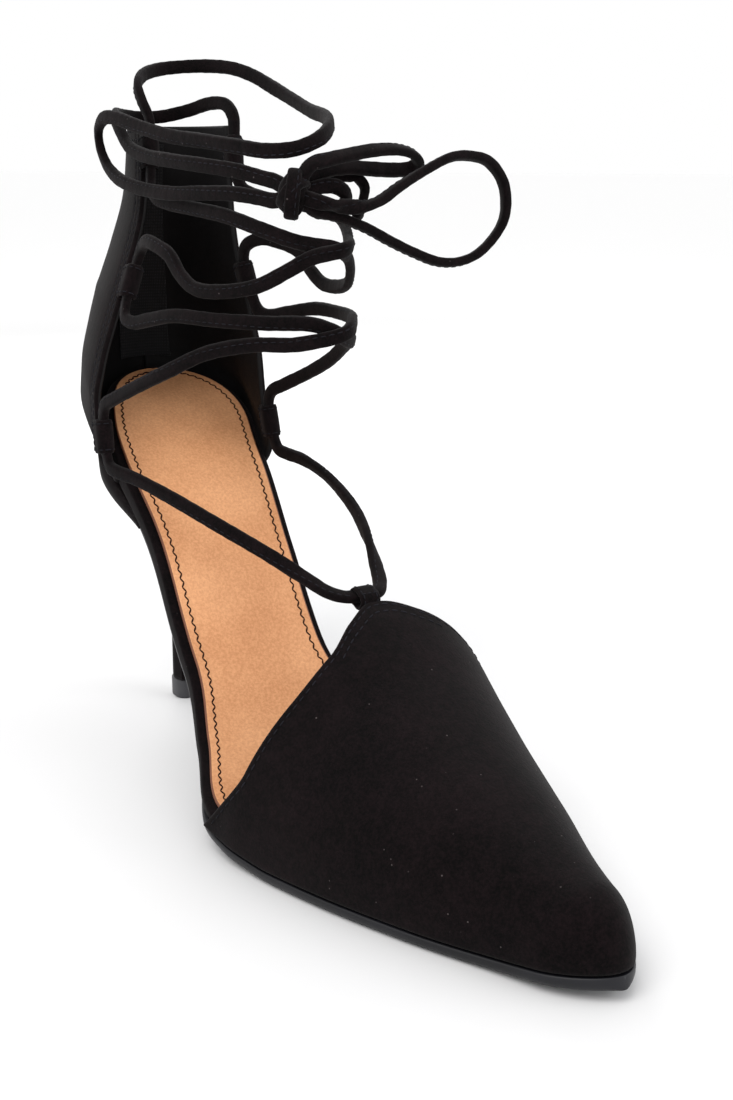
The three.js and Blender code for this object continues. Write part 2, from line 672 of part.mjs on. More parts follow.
function cuffSkin(depth) {
  const rowCount = 12;
  const columnCount = 26;
  return Array.from({ length: rowCount + 1 }, (_, i) => (
    Array.from({ length: columnCount + 1 }, (__, j) => {
      const around = (2 * j) / columnCount - 1;
      return cuffInside(around, i / rowCount, depth).toArray();
    })));
}

// Centre back of the cuff, where the zip runs: a frame that looks out of the wall.
function backFrame(up) {
  const step = 0.01;
  const at = cuffPoint(0, up);
  const rise = cuffPoint(0, up + step).sub(cuffPoint(0, up - step)).normalize();
  const across = new THREE.Vector3(0, 1, 0);
  const out = new THREE.Vector3().crossVectors(rise, across).normalize();
  return { at, rise, across: new THREE.Vector3().crossVectors(out, rise), out };
}

// A bar up the centre back, halfWidth to each side, from depth near to depth far.
function backBar(stations) {
  return barFrom(stations.map(({ up, halfWidth, near, far }) => {
    const { at, across, out } = backFrame(up);
    const corner = (side, depth) => at.clone()
      .addScaledVector(across, side * halfWidth)
      .addScaledVector(out, -depth)
      .toArray();
    return [corner(1, near), corner(1, far), corner(-1, far), corner(-1, near)];
  }));
}

const slotStations = [zipFoot, 0.35, 0.5, 0.65, 0.8, 0.9, 1.02].map((up) => (
  { up, halfWidth: slotWidth / 2, near: -cutReach, far: wall + cutReach }));
const cuffWall = toManifold(wallFrom(cuffSkin(0), cuffSkin(wall)));
addPiece('heel_cuff', fromManifold(
  cuffWall.subtract(toManifold(backBar(slotStations))),
), suede);

// Zip: tape inside the cuff, chain in the slot, slider and pull tab at the top

const cuffRise = cuffTop - boardHeight(heelEnd);
const chainTop = 1 - (sliderLow + neckHeight / 2 + 2 * seam) / cuffRise;

function tapeSkin(depth) {
  const rowCount = 10;
  const columnCount = 8;
  const low = zipFoot - tapeMargin / cuffRise;
  return Array.from({ length: rowCount + 1 }, (_, i) => (
    Array.from({ length: columnCount + 1 }, (__, j) => {
      const around = ((2 * j) / columnCount - 1) * tapeSpread;
      return cuffInside(around, low + (chainTop - low) * (i / rowCount), depth).toArray();
    })));
}

addPiece('zip_tape', wallFrom(
  tapeSkin(wall + seam),
  tapeSkin(wall + seam + tapeThickness),
), suede);

const chainFoot = zipFoot + 2 * seam / cuffRise;
const toothCount = Math.round(((chainTop - chainFoot) * cuffRise) / toothPitch);
const chainStations = [];
for (let i = 0; i < toothCount; i += 1) {
  const tooth = (share) => chainFoot + ((chainTop - chainFoot) * (i + share)) / toothCount;
  const crest = { halfWidth: slotWidth / 2 - seam, near: toothRecess, far: wall };
  const valley = { ...crest, near: toothRecess + toothDepth };
  if (i === 0) chainStations.push({ up: tooth(0), ...valley });
  chainStations.push({ up: tooth(crestStart), ...crest });
  chainStations.push({ up: tooth(crestEnd), ...crest });
  chainStations.push({ up: tooth(1), ...valley });
}
addPiece('zip_teeth', backBar(chainStations), zipMetal);

// Slider and tab share one frame: x out of the wall, y across, z up along the zip.
const sliderSeat = backFrame(1 - sliderLow / cuffRise);
const sliderMatrix = new THREE.Matrix4()
  .makeBasis(sliderSeat.out, sliderSeat.across.clone().negate(), sliderSeat.rise)
  .setPosition(sliderSeat.at);

function block(x0, x1, y0, y1, z0, z1) {
  const geometry = new THREE.BoxGeometry(x1 - x0, y1 - y0, z1 - z0);
  geometry.translate((x0 + x1) / 2, (y0 + y1) / 2, (z0 + z1) / 2);
  return toManifold(geometry);
}

function rod(radius, halfLength, x, z, sides) {
  const geometry = new THREE.CylinderGeometry(radius, radius, 2 * halfLength, sides);
  geometry.translate(x, 0, z);
  return toManifold(geometry);
}

const plateOut = seam + plateThickness;
const pinX = plateOut + seam + eyeRadius;
const pinZ = -plateHeight * pinPlace;
const innerFace = -(wall + seam + tapeThickness + insidePlateGap);
const lugInside = eyeHalf + seam;
const lugOutside = lugInside + lugThickness;
const lugTip = pinX + pinRadius + lugRim;

const slider = [
  block(seam, plateOut, -plateWidth / 2, plateWidth / 2, -plateHeight, neckHeight / 2),
  block(innerFace - plateThickness, innerFace, -insidePlateWidth / 2, insidePlateWidth / 2,
    -plateHeight, neckHeight / 2),
  block(innerFace - join, seam + join, -neckWidth / 2, neckWidth / 2,
    -neckHeight / 2, neckHeight / 2),
  block(plateOut - join, lugTip, lugInside, lugOutside, pinZ - eyeRadius, pinZ + eyeRadius),
  block(plateOut - join, lugTip, -lugOutside, -lugInside, pinZ - eyeRadius, pinZ + eyeRadius),
  rod(pinRadius, lugOutside - 0.1, pinX, pinZ, 12),
].reduce((whole, piece) => whole.add(piece));
addPiece('zip_slider', fromManifold(slider).applyMatrix4(sliderMatrix), zipMetal);

const leafTop = pinZ - eyeRadius - leafShoulder;
const tab = [
  rod(eyeRadius, eyeHalf, pinX, pinZ, 16),
  block(pinX - leafThickness / 2, pinX + leafThickness / 2, -eyeHalf, eyeHalf,
    leafTop - join, pinZ),
  block(pinX - leafThickness / 2, pinX + leafThickness / 2, -leafWidth / 2, leafWidth / 2,
    pinZ - tabLength, leafTop),
].reduce((whole, piece) => whole.add(piece))
  .subtract(rod(pinRadius + seam, eyeHalf + 1, pinX, pinZ, 16))
  .subtract(block(pinX - leafWidth, pinX + leafWidth,
    (-leafWidth * tabSlotWidth) / 2, (leafWidth * tabSlotWidth) / 2,
    pinZ - tabLength * tabSlotFoot, pinZ - tabLength * tabSlotHead));
addPiece('zip_pull_tab', fromManifold(tab).applyMatrix4(sliderMatrix), zipMetal);

// Loops that carry the lace: a flat ring of folded suede, extruded along its tunnel

function loopGeometry(tunnelLength) {
  const rounded = (path, x0, x1, y0, y1, r) => {
    path.moveTo(x0 + r, y0);
    path.lineTo(x1 - r, y0);
    path.absarc(x1 - r, y0 + r, r, -Math.PI / 2, 0);
    path.absarc(x1 - r, y1 - r, r, 0, Math.PI / 2);
    path.absarc(x0 + r, y1 - r, r, Math.PI / 2, Math.PI);
    path.absarc(x0 + r, y0 + r, r, Math.PI, 1.5 * Math.PI);
    return path;
  };
  const half = loopHeight / 2;
  const shape = rounded(new THREE.Shape(), seam, seam + loopDepth, -half, half, loopCorner);
  const hole = rounded(
    new THREE.Path(), seam + loopWall, seam + loopDepth - loopWall,
    -half + loopWall, half - loopWall, loopCorner - loopWall / 2,
  );
  shape.holes.push(hole);
  const geometry = new THREE.ExtrudeGeometry(shape, {
    depth: tunnelLength, bevelEnabled: false, curveSegments: 2,
  });
  geometry.translate(0, 0, -tunnelLength / 2);
  return geometry;
}

function placeLoop(name, origin, forward, tunnel, tunnelLength) {
  const thick = new THREE.Vector3().crossVectors(tunnel, forward).normalize();
  const ahead = new THREE.Vector3().crossVectors(thick, tunnel).normalize();
  const matrix = new THREE.Matrix4().makeBasis(ahead, thick, tunnel).setPosition(origin);
  addPiece(name, loopGeometry(tunnelLength).applyMatrix4(matrix), suede);
}

function cuffEdge(side, up) {
  const outer = cuffInside(side, up, 0);
  return outer.add(cuffInside(side, up, wall)).multiplyScalar(0.5);
}

for (const { name, side } of [{ name: 'outer', side: -1 }, { name: 'inner', side: 1 }]) {
  for (const { level, up } of cuffLoops) {
    const step = 0.02;
    const origin = cuffEdge(side, up);
    const tunnel = cuffEdge(side, up + step).sub(cuffEdge(side, up - step)).normalize();
    const forward = cuffPoint(side, up).sub(cuffPoint(side * 0.97, up)).setZ(0).normalize();
    placeLoop(`cuff_loop_${name}_${level}`, origin, forward, tunnel, loopLength);
  }
}

const peakX = xAt(toplineAt(0.5));
const peak = vampPoint(peakX, 0.5, wall / 2);
const beyond = vampPoint(peakX + 2, 0.5, wall / 2);
const peakForward = new THREE.Vector3(...peak).sub(new THREE.Vector3(...beyond)).normalize();
placeLoop('vamp_loop', new THREE.Vector3(...peak), peakForward,
  new THREE.Vector3(0, 1, 0), peakLoopLength);

// Lace: round cords of the strap's own thickness, with the crossings joined in one solid

function cordAlong(points, step) {
  const curve = new THREE.CatmullRomCurve3(points, false, 'centripetal');
  const sides = 8;
  const outline = Array.from({ length: sides }, (_, i) => {
    const angle = ((i + 0.5) / sides) * 2 * Math.PI;
    return new THREE.Vector2(Math.cos(angle), Math.sin(angle)).multiplyScalar(laceDiameter / 2);
  });
  return new THREE.ExtrudeGeometry(new THREE.Shape(outline), {
    steps: Math.round(curve.getLength() / step), extrudePath: curve, curveSegments: 1,
  });
}

function crossingStrand(firstSide) {
  const other = { outer: 'inner', inner: 'outer' };
  let side = other[firstSide];
  return crossingRoute.map((row) => {
    const point = new THREE.Vector3(row.x, row[side], row.z);
    if (row.outer === row.inner) side = other[side];
    return point;
  });
}

const [outerStrand, innerStrand] = ['outer', 'inner'].map((side) => (
  toManifold(cordAlong(crossingStrand(side), crossingStep))));
addPiece('lace_crossings', fromManifold(outerStrand.add(innerStrand)), suede);

const freeCords = [
  { name: 'lace_wrap_outer', route: wrapOuterRoute, step: wrapStep },
  { name: 'lace_wrap_inner', route: wrapInnerRoute, step: wrapStep },
  { name: 'bow_loop_small', route: bowSmallRoute, step: bowStep },
  { name: 'bow_loop_large', route: bowLargeRoute, step: bowStep },
  { name: 'lace_end_near', route: endNearRoute, step: bowStep },
  { name: 'lace_end_far', route: endFarRoute, step: bowStep },
];
for (const { name, route, step } of freeCords) {
  addPiece(name, cordAlong(route.map((point) => new THREE.Vector3(...point)), step), suede);
}

const knot = new THREE.SphereGeometry(0.5, 12, 8);
knot.scale(...knotSize);
knot.translate(...knotCentre);
addPiece('bow_knot', knot, suede);

export default shoe;
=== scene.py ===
# %% [markdown]
# Lace up heel
#
# A black suede stiletto for the right foot: a pointed vamp, a tall zipped heel cuff, a tan
# sock, and a narrow suede lace that climbs through seven loops and ends in a bow.
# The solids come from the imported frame. The soft parts are drawn again here as finer
# surfaces of the same form, because suede, folded edges and stitches are what the eye reads.

# %% The frame
import math

import bmesh
import bpy
import numpy as np
from mathutils import Matrix, Vector


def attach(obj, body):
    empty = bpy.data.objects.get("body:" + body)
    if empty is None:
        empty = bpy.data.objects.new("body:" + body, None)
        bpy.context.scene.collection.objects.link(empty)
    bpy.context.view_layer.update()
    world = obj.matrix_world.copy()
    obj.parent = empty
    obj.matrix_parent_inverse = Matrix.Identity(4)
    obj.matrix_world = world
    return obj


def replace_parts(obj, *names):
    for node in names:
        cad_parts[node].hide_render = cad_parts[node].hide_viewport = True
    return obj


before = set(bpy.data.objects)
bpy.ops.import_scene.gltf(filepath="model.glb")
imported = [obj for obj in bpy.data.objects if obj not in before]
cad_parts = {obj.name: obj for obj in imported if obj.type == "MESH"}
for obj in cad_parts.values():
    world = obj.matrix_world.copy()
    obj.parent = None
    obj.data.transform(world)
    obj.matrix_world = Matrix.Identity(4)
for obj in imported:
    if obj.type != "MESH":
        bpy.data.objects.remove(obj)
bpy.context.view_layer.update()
MM = 0.001
SHOE = "shoe"
TAB = "pull_tab"

# %% [markdown]
# The camera stands close to the toe and looks back along the shoe, so near parts look
# large. Its place and lens were worked out from the photograph's perspective.

# %% Camera
CAMERA_PLACE = (374.2, -162.0, 156.8)
CAMERA_AZIMUTH = 31.2
CAMERA_ELEVATION = 15.3
CAMERA_ROLL = 0.3
FOCAL_PIXELS = 1391
PHOTO_HEIGHT = 1100
SENSOR = 36.0
CLIP_RANGE = (0.01, 200)


def new_object(name, data):
    """Puts data into the scene as an object."""
    made = bpy.data.objects.new(name, data)
    bpy.context.scene.collection.objects.link(made)
    return made


def turned(first, second, angle):
    """Two unit vectors turned by angle in their own plane."""
    return (first * np.cos(angle) + second * np.sin(angle),
            second * np.cos(angle) - first * np.sin(angle))


def camera_axes(azimuth, elevation, roll):
    """The camera's right, up and back vectors for an azimuth from the toe's side."""
    a = math.radians(azimuth)
    e = math.radians(elevation)
    back = np.array([math.cos(a) * math.cos(e), -math.sin(a) * math.cos(e), math.sin(e)])
    right = np.cross([0.0, 0.0, 1.0], back)
    right /= np.linalg.norm(right)
    right, up = turned(right, np.cross(back, right), math.radians(roll))
    return np.array([right, up, back])


camera_data = bpy.data.cameras.new("camera")
camera = new_object("camera", camera_data)
camera.rotation_mode = "QUATERNION"
camera.location = [v * MM for v in CAMERA_PLACE]
view_axes = camera_axes(CAMERA_AZIMUTH, CAMERA_ELEVATION, CAMERA_ROLL)
camera.rotation_quaternion = Matrix(view_axes.T.tolist()).to_quaternion()
camera_data.sensor_width = SENSOR
camera_data.lens = SENSOR * (FOCAL_PIXELS / PHOTO_HEIGHT)
camera_data.clip_start, camera_data.clip_end = CLIP_RANGE
bpy.context.scene.camera = camera
print("lens", round(camera_data.lens, 1), "mm")

# %% [markdown]
# A shape here is a grid of points, worked out as whole arrays. The helpers below list a
# grid's faces, make the object from them, and hold the few formulas that many pieces share.

# %% Mesh helpers


def unit(vectors):
    """The same directions with a length of one."""
    return vectors / np.maximum(np.linalg.norm(vectors, axis=-1, keepdims=True), 1e-12)


def circle(count):
    """Angles at even steps round a full turn."""
    return np.arange(count) * 2 * np.pi / count


def boxy(value, power):
    """A sine or cosine pressed towards a square; a power of 1 leaves it round."""
    return np.sign(value) * np.abs(value) ** power


def ease(t):
    """From 0 to 1 with a level start and a level end."""
    t = np.clip(t, 0, 1)
    return t * t * (3 - 2 * t)


def rounded(t):
    """From 0 to 1 like a quarter of a circle, steep at the start."""
    return np.sqrt(1 - (1 - np.clip(t, 0, 1)) ** 2)


def grid_faces(rows, columns, around=False, flip=False, first=0):
    """Quads of a grid of points; around joins its last column to its first."""
    last = columns if around else columns - 1
    i, j = np.meshgrid(np.arange(rows - 1), np.arange(last), indexing="ij")
    k = (j + 1) % columns
    here, above = i * columns, (i + 1) * columns
    quads = np.stack([here + j, here + k, above + k, above + j], -1).reshape(-1, 4) + first
    return quads[:, ::-1] if flip else quads


def repeated(quads, count, points_each, first=0):
    """The same faces for count copies of a shape, whose points follow each other."""
    offsets = first + np.arange(count) * points_each
    return (quads[None] + offsets[:, None, None]).reshape(-1, 4)


def clean(mesh, distance):
    """Merges doubled points and drops the faces that this flattens."""
    work = bmesh.new()
    work.from_mesh(mesh)
    bmesh.ops.remove_doubles(work, verts=work.verts, dist=distance)
    bmesh.ops.dissolve_degenerate(work, edges=work.edges, dist=distance / 2)
    bmesh.ops.recalc_face_normals(work, faces=work.faces)
    work.to_mesh(mesh)
    work.free()
    mesh.update()


def add_piece(name, points, quads, finishes, slot, merge=1e-6, kinds=None):
    """Makes a mesh object from points in millimetres; kinds picks each face's finish."""
    mesh = bpy.data.meshes.new(name)
    mesh.vertices.add(len(points))
    mesh.vertices.foreach_set("co", (np.asarray(points, np.float64) * MM).astype(np.float32).ravel())
    mesh.loops.add(quads.size)
    mesh.loops.foreach_set("vertex_index", quads.astype(np.int32).ravel())
    mesh.polygons.add(len(quads))
    mesh.polygons.foreach_set("loop_start", np.arange(0, quads.size, 4, dtype=np.int32))
    mesh.polygons.foreach_set("loop_total", np.full(len(quads), 4, np.int32))
    mesh.update(calc_edges=True)
    if kinds is not None:
        mesh.polygons.foreach_set("material_index", np.asarray(kinds, np.int32))
    mesh.validate()
    for finish in finishes if isinstance(finishes, list) else [finishes]:
        mesh.materials.append(finish)
    clean(mesh, merge)
    mesh.shade_smooth()
    piece = new_object(name, mesh)
    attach(piece, SHOE)
    print(name, len(mesh.polygons), "faces")
    return piece


def ring_piece(name, rings, finishes, slot, **more):
    """A closed tube of rings: an array of rings by points by three."""
    quads = grid_faces(rings.shape[0], rings.shape[1], around=True)
    return add_piece(name, rings.reshape(-1, 3), quads, finishes, slot, **more)


# %% [markdown]
# Shader maths is easier to read as expressions. Value wraps a node socket, so that
# 1 - mask or noise * 0.3 adds the Math node for it, and Finish makes every other node.

# %% Shader expressions


class Value:
    """A number that changes over the surface."""

    def __init__(self, finish, socket):
        self.finish = finish
        self.socket = socket

    def _math(self, operation, a, b=None):
        inputs = {0: a} if b is None else {0: a, 1: b}
        made = self.finish.node("ShaderNodeMath", {"operation": operation}, inputs)
        return Value(self.finish, made.outputs[0])

    def __add__(self, other):
        return self._math("ADD", self, other)

    __radd__ = __add__

    def __mul__(self, other):
        return self._math("MULTIPLY", self, other)

    __rmul__ = __mul__

    def __sub__(self, other):
        return self._math("SUBTRACT", self, other)

    def __rsub__(self, other):
        return self._math("SUBTRACT", other, self)

    def __pow__(self, other):
        return self._math("POWER", self, other)

    def sine(self):
        return self._math("SINE", self)

    def ramp(self, low, high):
        """0 below low, 1 above high, smooth in between."""
        made = self.finish.node(
            "ShaderNodeMapRange", {"interpolation_type": "SMOOTHSTEP", "clamp": True},
            {"Value": self, "From Min": low, "From Max": high})
        return Value(self.finish, made.outputs[0])


class Finish:
    """A material whose nodes are made by one method."""

    def __init__(self, name, **constants):
        self.material = bpy.data.materials.new(name)
        self.material.use_nodes = True
        self.tree = self.material.node_tree
        self.surface = self.tree.nodes["Principled BSDF"]
        for socket, value in constants.items():
            self.surface.inputs[socket.replace("_", " ")].default_value = value

    def node(self, kind, settings=None, inputs=None):
        """Makes a node, sets it, then fills or links its sockets."""
        made = self.tree.nodes.new(kind)
        for key, value in (settings or {}).items():
            setattr(made, key, value)
        for key, value in (inputs or {}).items():
            self.put(made.inputs[key], value)
        return made

    def put(self, socket, value):
        if isinstance(value, Value):
            value = value.socket
        if isinstance(value, bpy.types.NodeSocket):
            self.tree.links.new(value, socket)
        else:
            socket.default_value = value

    def place(self):
        return self.node("ShaderNodeTexCoord").outputs["Object"]

    def noise(self, scale, detail=2.0, rough=0.5):
        made = self.node("ShaderNodeTexNoise", None, {
            "Vector": self.place(), "Scale": scale, "Detail": detail, "Roughness": rough})
        return Value(self, made.outputs["Fac"])

    def cells(self, scale):
        """Distance to the nearest of many scattered points."""
        made = self.node("ShaderNodeTexVoronoi", None, {"Vector": self.place(), "Scale": scale})
        return Value(self, made.outputs["Distance"])

    def axis(self, name):
        made = self.node("ShaderNodeSeparateXYZ", None, {0: self.place()})
        return Value(self, made.outputs[name])

    def mix(self, share, low, high):
        """A colour between low and high; sockets 6 and 7 are a colour mix's A and B."""
        made = self.node("ShaderNodeMix", {"data_type": "RGBA"}, {0: share, 6: low, 7: high})
        return made.outputs[2]

    def bump(self, height, strength, distance):
        made = self.node("ShaderNodeBump", None,
                         {"Height": height, "Strength": strength, "Distance": distance})
        return made.outputs["Normal"]

    def wear(self, **links):
        """Links what changes over the surface, and gives the finished material."""
        for socket, value in links.items():
            self.put(self.surface.inputs[socket.replace("_", " ")], value)
        return self.material


def colour(r, g, b):
    """An sRGB colour from 0 to 255 as the linear values that nodes take."""
    values = [v / 255 for v in (r, g, b)]
    return tuple(v / 12.92 if v <= 0.04045 else ((v + 0.055) / 1.055) ** 2.4 for v in values) + (1.0,)


# %% [markdown]
# Suede is split leather with a raised nap. It has almost no gloss, its nap lies in soft
# patches that differ a little in tone, and it picks up pale dust. Sheen gives the light
# rim that a nap shows where the surface turns away.

# %% Suede
SUEDE_DARK = colour(1, 1, 1)
SUEDE_LIGHT = colour(22, 14, 16)
DUST = colour(96, 88, 88)
DUST_SHARE = 0.55
SPECK_SCALE = 420.0
SPECK_PATCH_SCALE = 210.0


def suede_finish(name, patch_scale, nap_scale):
    finish = Finish(name, Sheen_Weight=0.05, Sheen_Roughness=0.5, Specular_IOR_Level=0.06)
    patches = finish.noise(patch_scale, 4.0, 0.6)
    nap = finish.noise(nap_scale, 3.0, 0.65)
    grain = finish.noise(nap_scale * 0.3, 2.0, 0.6)
    tone = patches.ramp(0.3, 0.72) * 0.3 + nap.ramp(0.34, 0.68) * 0.45 + grain.ramp(0.35, 0.7) * 0.25
    specks = 1 - finish.cells(SPECK_SCALE).ramp(0.05, 0.11)
    sparse = finish.noise(SPECK_PATCH_SCALE, 1.0).ramp(0.57, 0.63)
    brushed = finish.mix(tone, SUEDE_DARK, SUEDE_LIGHT)
    return finish.wear(
        Base_Color=finish.mix(specks * sparse * DUST_SHARE, brushed, DUST),
        Roughness=0.84 + nap * 0.14,
        Normal=finish.bump(nap * 0.7 + grain * 0.6 + patches * 0.4, 0.35, 0.00035),
    )


suede = suede_finish("suede", patch_scale=55.0, nap_scale=1500.0)
lace_suede = suede_finish("lace_suede", patch_scale=120.0, nap_scale=1900.0)
print("suede on the uppers and on the lace:", suede.name, lace_suede.name)

# %% [markdown]
# The sock is smooth tan leather with a fine pebbled grain, slightly darker where the foot
# has pressed it. Its rim is painted dark, which shows as a thin line all the way round.

# %% Sock leather
TAN_DARK = colour(190, 129, 84)
TAN_LIGHT = colour(227, 167, 120)


def sock_finish():
    finish = Finish("sock_leather", Specular_IOR_Level=0.35)
    cloud = finish.noise(38.0, 3.0, 0.55)
    pore = finish.cells(1500.0)
    grain = finish.noise(1300.0, 3.0, 0.7)
    tone = cloud.ramp(0.3, 0.72) * 0.45 + grain.ramp(0.3, 0.7) * 0.55
    base = finish.mix(tone, TAN_DARK, TAN_LIGHT)
    return finish.wear(
        Base_Color=base,
        Roughness=0.52 + grain * 0.16,
        Normal=finish.bump(pore * 0.6 + grain * 0.5, 0.25, 0.0002),
    )


def plain_finish(name, dark, light, rough, grain_scale, bump_depth, **constants):
    """A smooth coloured finish with a little cloud in its tone and a fine grain."""
    finish = Finish(name, **constants)
    cloud = finish.noise(45.0, 3.0, 0.55)
    grain = finish.noise(grain_scale, 3.0, 0.6)
    return finish.wear(
        Base_Color=finish.mix(cloud.ramp(0.3, 0.7) * 0.6 + grain * 0.4, dark, light),
        Roughness=rough + grain * 0.14,
        Normal=finish.bump(grain, 0.3, bump_depth),
    )


sock_leather = sock_finish()
sock_rim = plain_finish("sock_rim", colour(96, 54, 34), colour(122, 74, 48), 0.55, 900.0, 0.0001)
sole_paint = plain_finish("sole_paint", colour(7, 7, 10), colour(21, 21, 27), 0.42, 600.0, 0.00008,
                          Coat_Weight=0.1, Coat_Roughness=0.3, Specular_IOR_Level=0.3)
lining = plain_finish("lining", colour(6, 5, 6), colour(17, 15, 16), 0.62, 1100.0, 0.0002,
                      Specular_IOR_Level=0.2)
tip_plastic = plain_finish("tip_plastic", colour(40, 40, 43), colour(60, 60, 63), 0.42, 500.0, 0.0001)
thread_black = plain_finish("thread_black", colour(9, 9, 12), colour(33, 32, 38), 0.66, 4000.0, 0.0001,
                            Specular_IOR_Level=0.12)
thread_brown = plain_finish("thread_brown", colour(26, 10, 7), colour(48, 22, 14), 0.7, 4000.0, 0.0001,
                            Specular_IOR_Level=0.1)
zip_metal = plain_finish("zip_metal", colour(22, 22, 23), colour(48, 48, 50), 0.28, 1400.0, 0.00005,
                         Metallic=0.85)
print("finishes so far:", len(bpy.data.materials))

# %% [markdown]
# The studio is plain: a pale floor that runs out of view, a large soft light above and
# two weaker ones at the sides, so that black suede still shows its shape. Near the shoe,
# where all three lights meet, the floor's colour carries painted shade: it is made darker
# there, which keeps it from burning out.

# %% Studio
MIDDLE = (0.08, 0.0, 0.08)
FLOOR_HALF = 60.0
# painted shade: the floor's colour near the shoe, darker to hold back the light that meets there
FLOOR_NEAR_PAINTED_SHADE = (0.71, 0.71, 0.715, 1.0)
FLOOR_FAR = (0.985, 0.985, 0.985, 1.0)
FLOOR_FADE = (0.25, 1.6)


def soft_light(name, place, width, power, tint):
    """A square area light at place in metres, turned to look at the shoe's middle."""
    data = bpy.data.lights.new(name, "AREA")
    data.size = width
    data.energy = power
    data.color = tint
    light = new_object(name, data)
    light.location = place
    light.rotation_mode = "QUATERNION"
    aim = Vector(place) - Vector(MIDDLE)
    light.rotation_quaternion = aim.to_track_quat("Z", "Y")


soft_light("key", place=(0.35, -0.55, 0.95), width=0.7, power=6.0, tint=(1.0, 0.985, 0.97))
soft_light("fill", place=(0.75, 0.65, 0.45), width=0.6, power=2.6, tint=(0.97, 0.985, 1.0))
soft_light("rim", place=(-0.65, 0.15, 0.55), width=0.5, power=2.6, tint=(1.0, 1.0, 1.0))

floor_mesh = bpy.data.meshes.new("floor")
floor_corners = [(x * FLOOR_HALF, y * FLOOR_HALF, 0) for x, y in ((-1, -1), (1, -1), (1, 1), (-1, 1))]
floor_mesh.from_pydata(floor_corners, [], [(0, 1, 2, 3)])
floor = new_object("floor", floor_mesh)
floor_finish = Finish("floor_paper", Roughness=0.9, Specular_IOR_Level=0.1)
# The floor's base colour is painted shade: darker near the shoe, pale farther away.
floor_x, floor_y = floor_finish.axis("X") - MIDDLE[0], floor_finish.axis("Y")
from_shoe = (floor_x * floor_x + floor_y * floor_y) ** 0.5
floor_finish.wear(Base_Color=floor_finish.mix(from_shoe.ramp(*FLOOR_FADE), FLOOR_NEAR_PAINTED_SHADE, FLOOR_FAR))
floor_mesh.materials.append(floor_finish.material)

world = bpy.data.worlds.new("studio")
bpy.context.scene.world = world
world.use_nodes = True
world.node_tree.nodes["Background"].inputs["Color"].default_value = (1.0, 1.0, 1.0, 1.0)
world.node_tree.nodes["Background"].inputs["Strength"].default_value = 1.0
bpy.context.scene.view_settings.view_transform = "Standard"
print("floor", 2 * FLOOR_HALF, "m wide")

# %% [markdown]
# A shoe is designed on a last. Its plan outline, the arch of its sole and the sections of
# the upper are short tables of shares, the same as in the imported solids, and smooth curves
# run through them. Each named size below belongs to this one shoe.

# %% Sizes of the last and the upper, in millimetres
LAST_LENGTH = 225.5
HEEL_SETBACK = 29.5
SEAT_HEIGHT = 88
BALL_WIDTH = 76
INSTEP_HEIGHT = 50
TOE_SPRING = 3
TOE_ROUNDING = 12
HEEL_ROUNDING = 34
OUTSOLE_THICKNESS = 3
PAD_THICKNESS = 10.4
SOCK_THICKNESS = 0.9
SOCK_MARGIN = 2.2
SEAM = 0.3
WALL = 1.9
EDGE_CLEARANCE = 0.6
CUFF_TOP = 168.5
CUFF_REACH = 21.5
BACK_FULLNESS = 0.82
ELLIPSE_START = 0.16
ELLIPSE_FROM = 0.5
HEEL_FRONT = 26
HEEL_INSET = 0.4
TIP_HEIGHT = 6
TIP_LENGTH = 8.8
TIP_WIDTH = 8.6
SHANK_INSET = 3.2
ZIP_FOOT = 0.2
SLOT_WIDTH = 4.6
TAPE_THICKNESS = 0.5
TAPE_SPREAD = 0.2

# along, rise, pad
BOARD_LINE = np.array([
    [0.000, 1.000, 1.00], [0.072, 0.961, 0.80], [0.159, 0.860, 0.58], [0.204, 0.791, 0.46],
    [0.246, 0.699, 0.42], [0.290, 0.570, 0.41], [0.334, 0.431, 0.40], [0.380, 0.302, 0.37],
    [0.428, 0.190, 0.34], [0.476, 0.115, 0.31], [0.524, 0.063, 0.26], [0.571, 0.029, 0.23],
    [0.617, 0.010, 0.22], [0.663, 0.000, 0.21], [0.840, 0.000, 0.21], [1.000, 0.000, 0.21]])
# along, centre, half
PLAN_OUTLINE = np.array([
    [0.000, 0.028, 0.335], [0.095, 0.010, 0.338], [0.197, -0.036, 0.326], [0.286, -0.046, 0.302],
    [0.375, -0.061, 0.303], [0.463, -0.052, 0.380], [0.552, -0.029, 0.487], [0.596, 0.000, 0.497],
    [0.641, 0.009, 0.476], [0.730, 0.021, 0.407], [0.818, 0.037, 0.318], [0.907, 0.049, 0.204],
    [0.973, 0.059, 0.130], [1.000, 0.068, 0.104]])
# along, ridge, height, outer, inner
VAMP_SECTIONS = np.array([
    [0.530, 0.092, 1.00, 1.8, 3.0], [0.574, 0.092, 0.97, 1.8, 3.0], [0.619, 0.090, 0.89, 1.9, 2.8],
    [0.685, 0.085, 0.75, 2.0, 2.5], [0.752, 0.080, 0.62, 2.1, 2.3], [0.818, 0.076, 0.51, 2.2, 2.2],
    [0.885, 0.072, 0.40, 2.2, 2.2], [0.942, 0.070, 0.32, 2.2, 2.2], [1.000, 0.068, 0.26, 2.2, 2.2]])
# around, along
VAMP_TOPLINE = np.array([
    [0.00, 0.557], [0.06, 0.581], [0.14, 0.605], [0.27, 0.610], [0.37, 0.600], [0.43, 0.579],
    [0.50, 0.561], [0.57, 0.577], [0.66, 0.590], [0.78, 0.600], [0.90, 0.583], [1.00, 0.552]])
# up, back, front, outer, inner
CUFF_SECTIONS = np.array([
    [0.00, 1.000, 1.00, 1.00, 1.00], [0.07, 1.035, 0.99, 1.07, 1.00], [0.12, 1.052, 0.97, 1.16, 0.99],
    [0.19, 1.060, 0.93, 1.25, 0.92], [0.28, 1.050, 0.87, 1.25, 0.89], [0.38, 1.000, 0.81, 1.16, 0.87],
    [0.50, 0.915, 0.71, 0.97, 0.79], [0.62, 0.830, 0.60, 0.77, 0.69], [0.79, 0.735, 0.48, 0.54, 0.63],
    [1.00, 0.640, 0.26, 0.44, 0.66]])
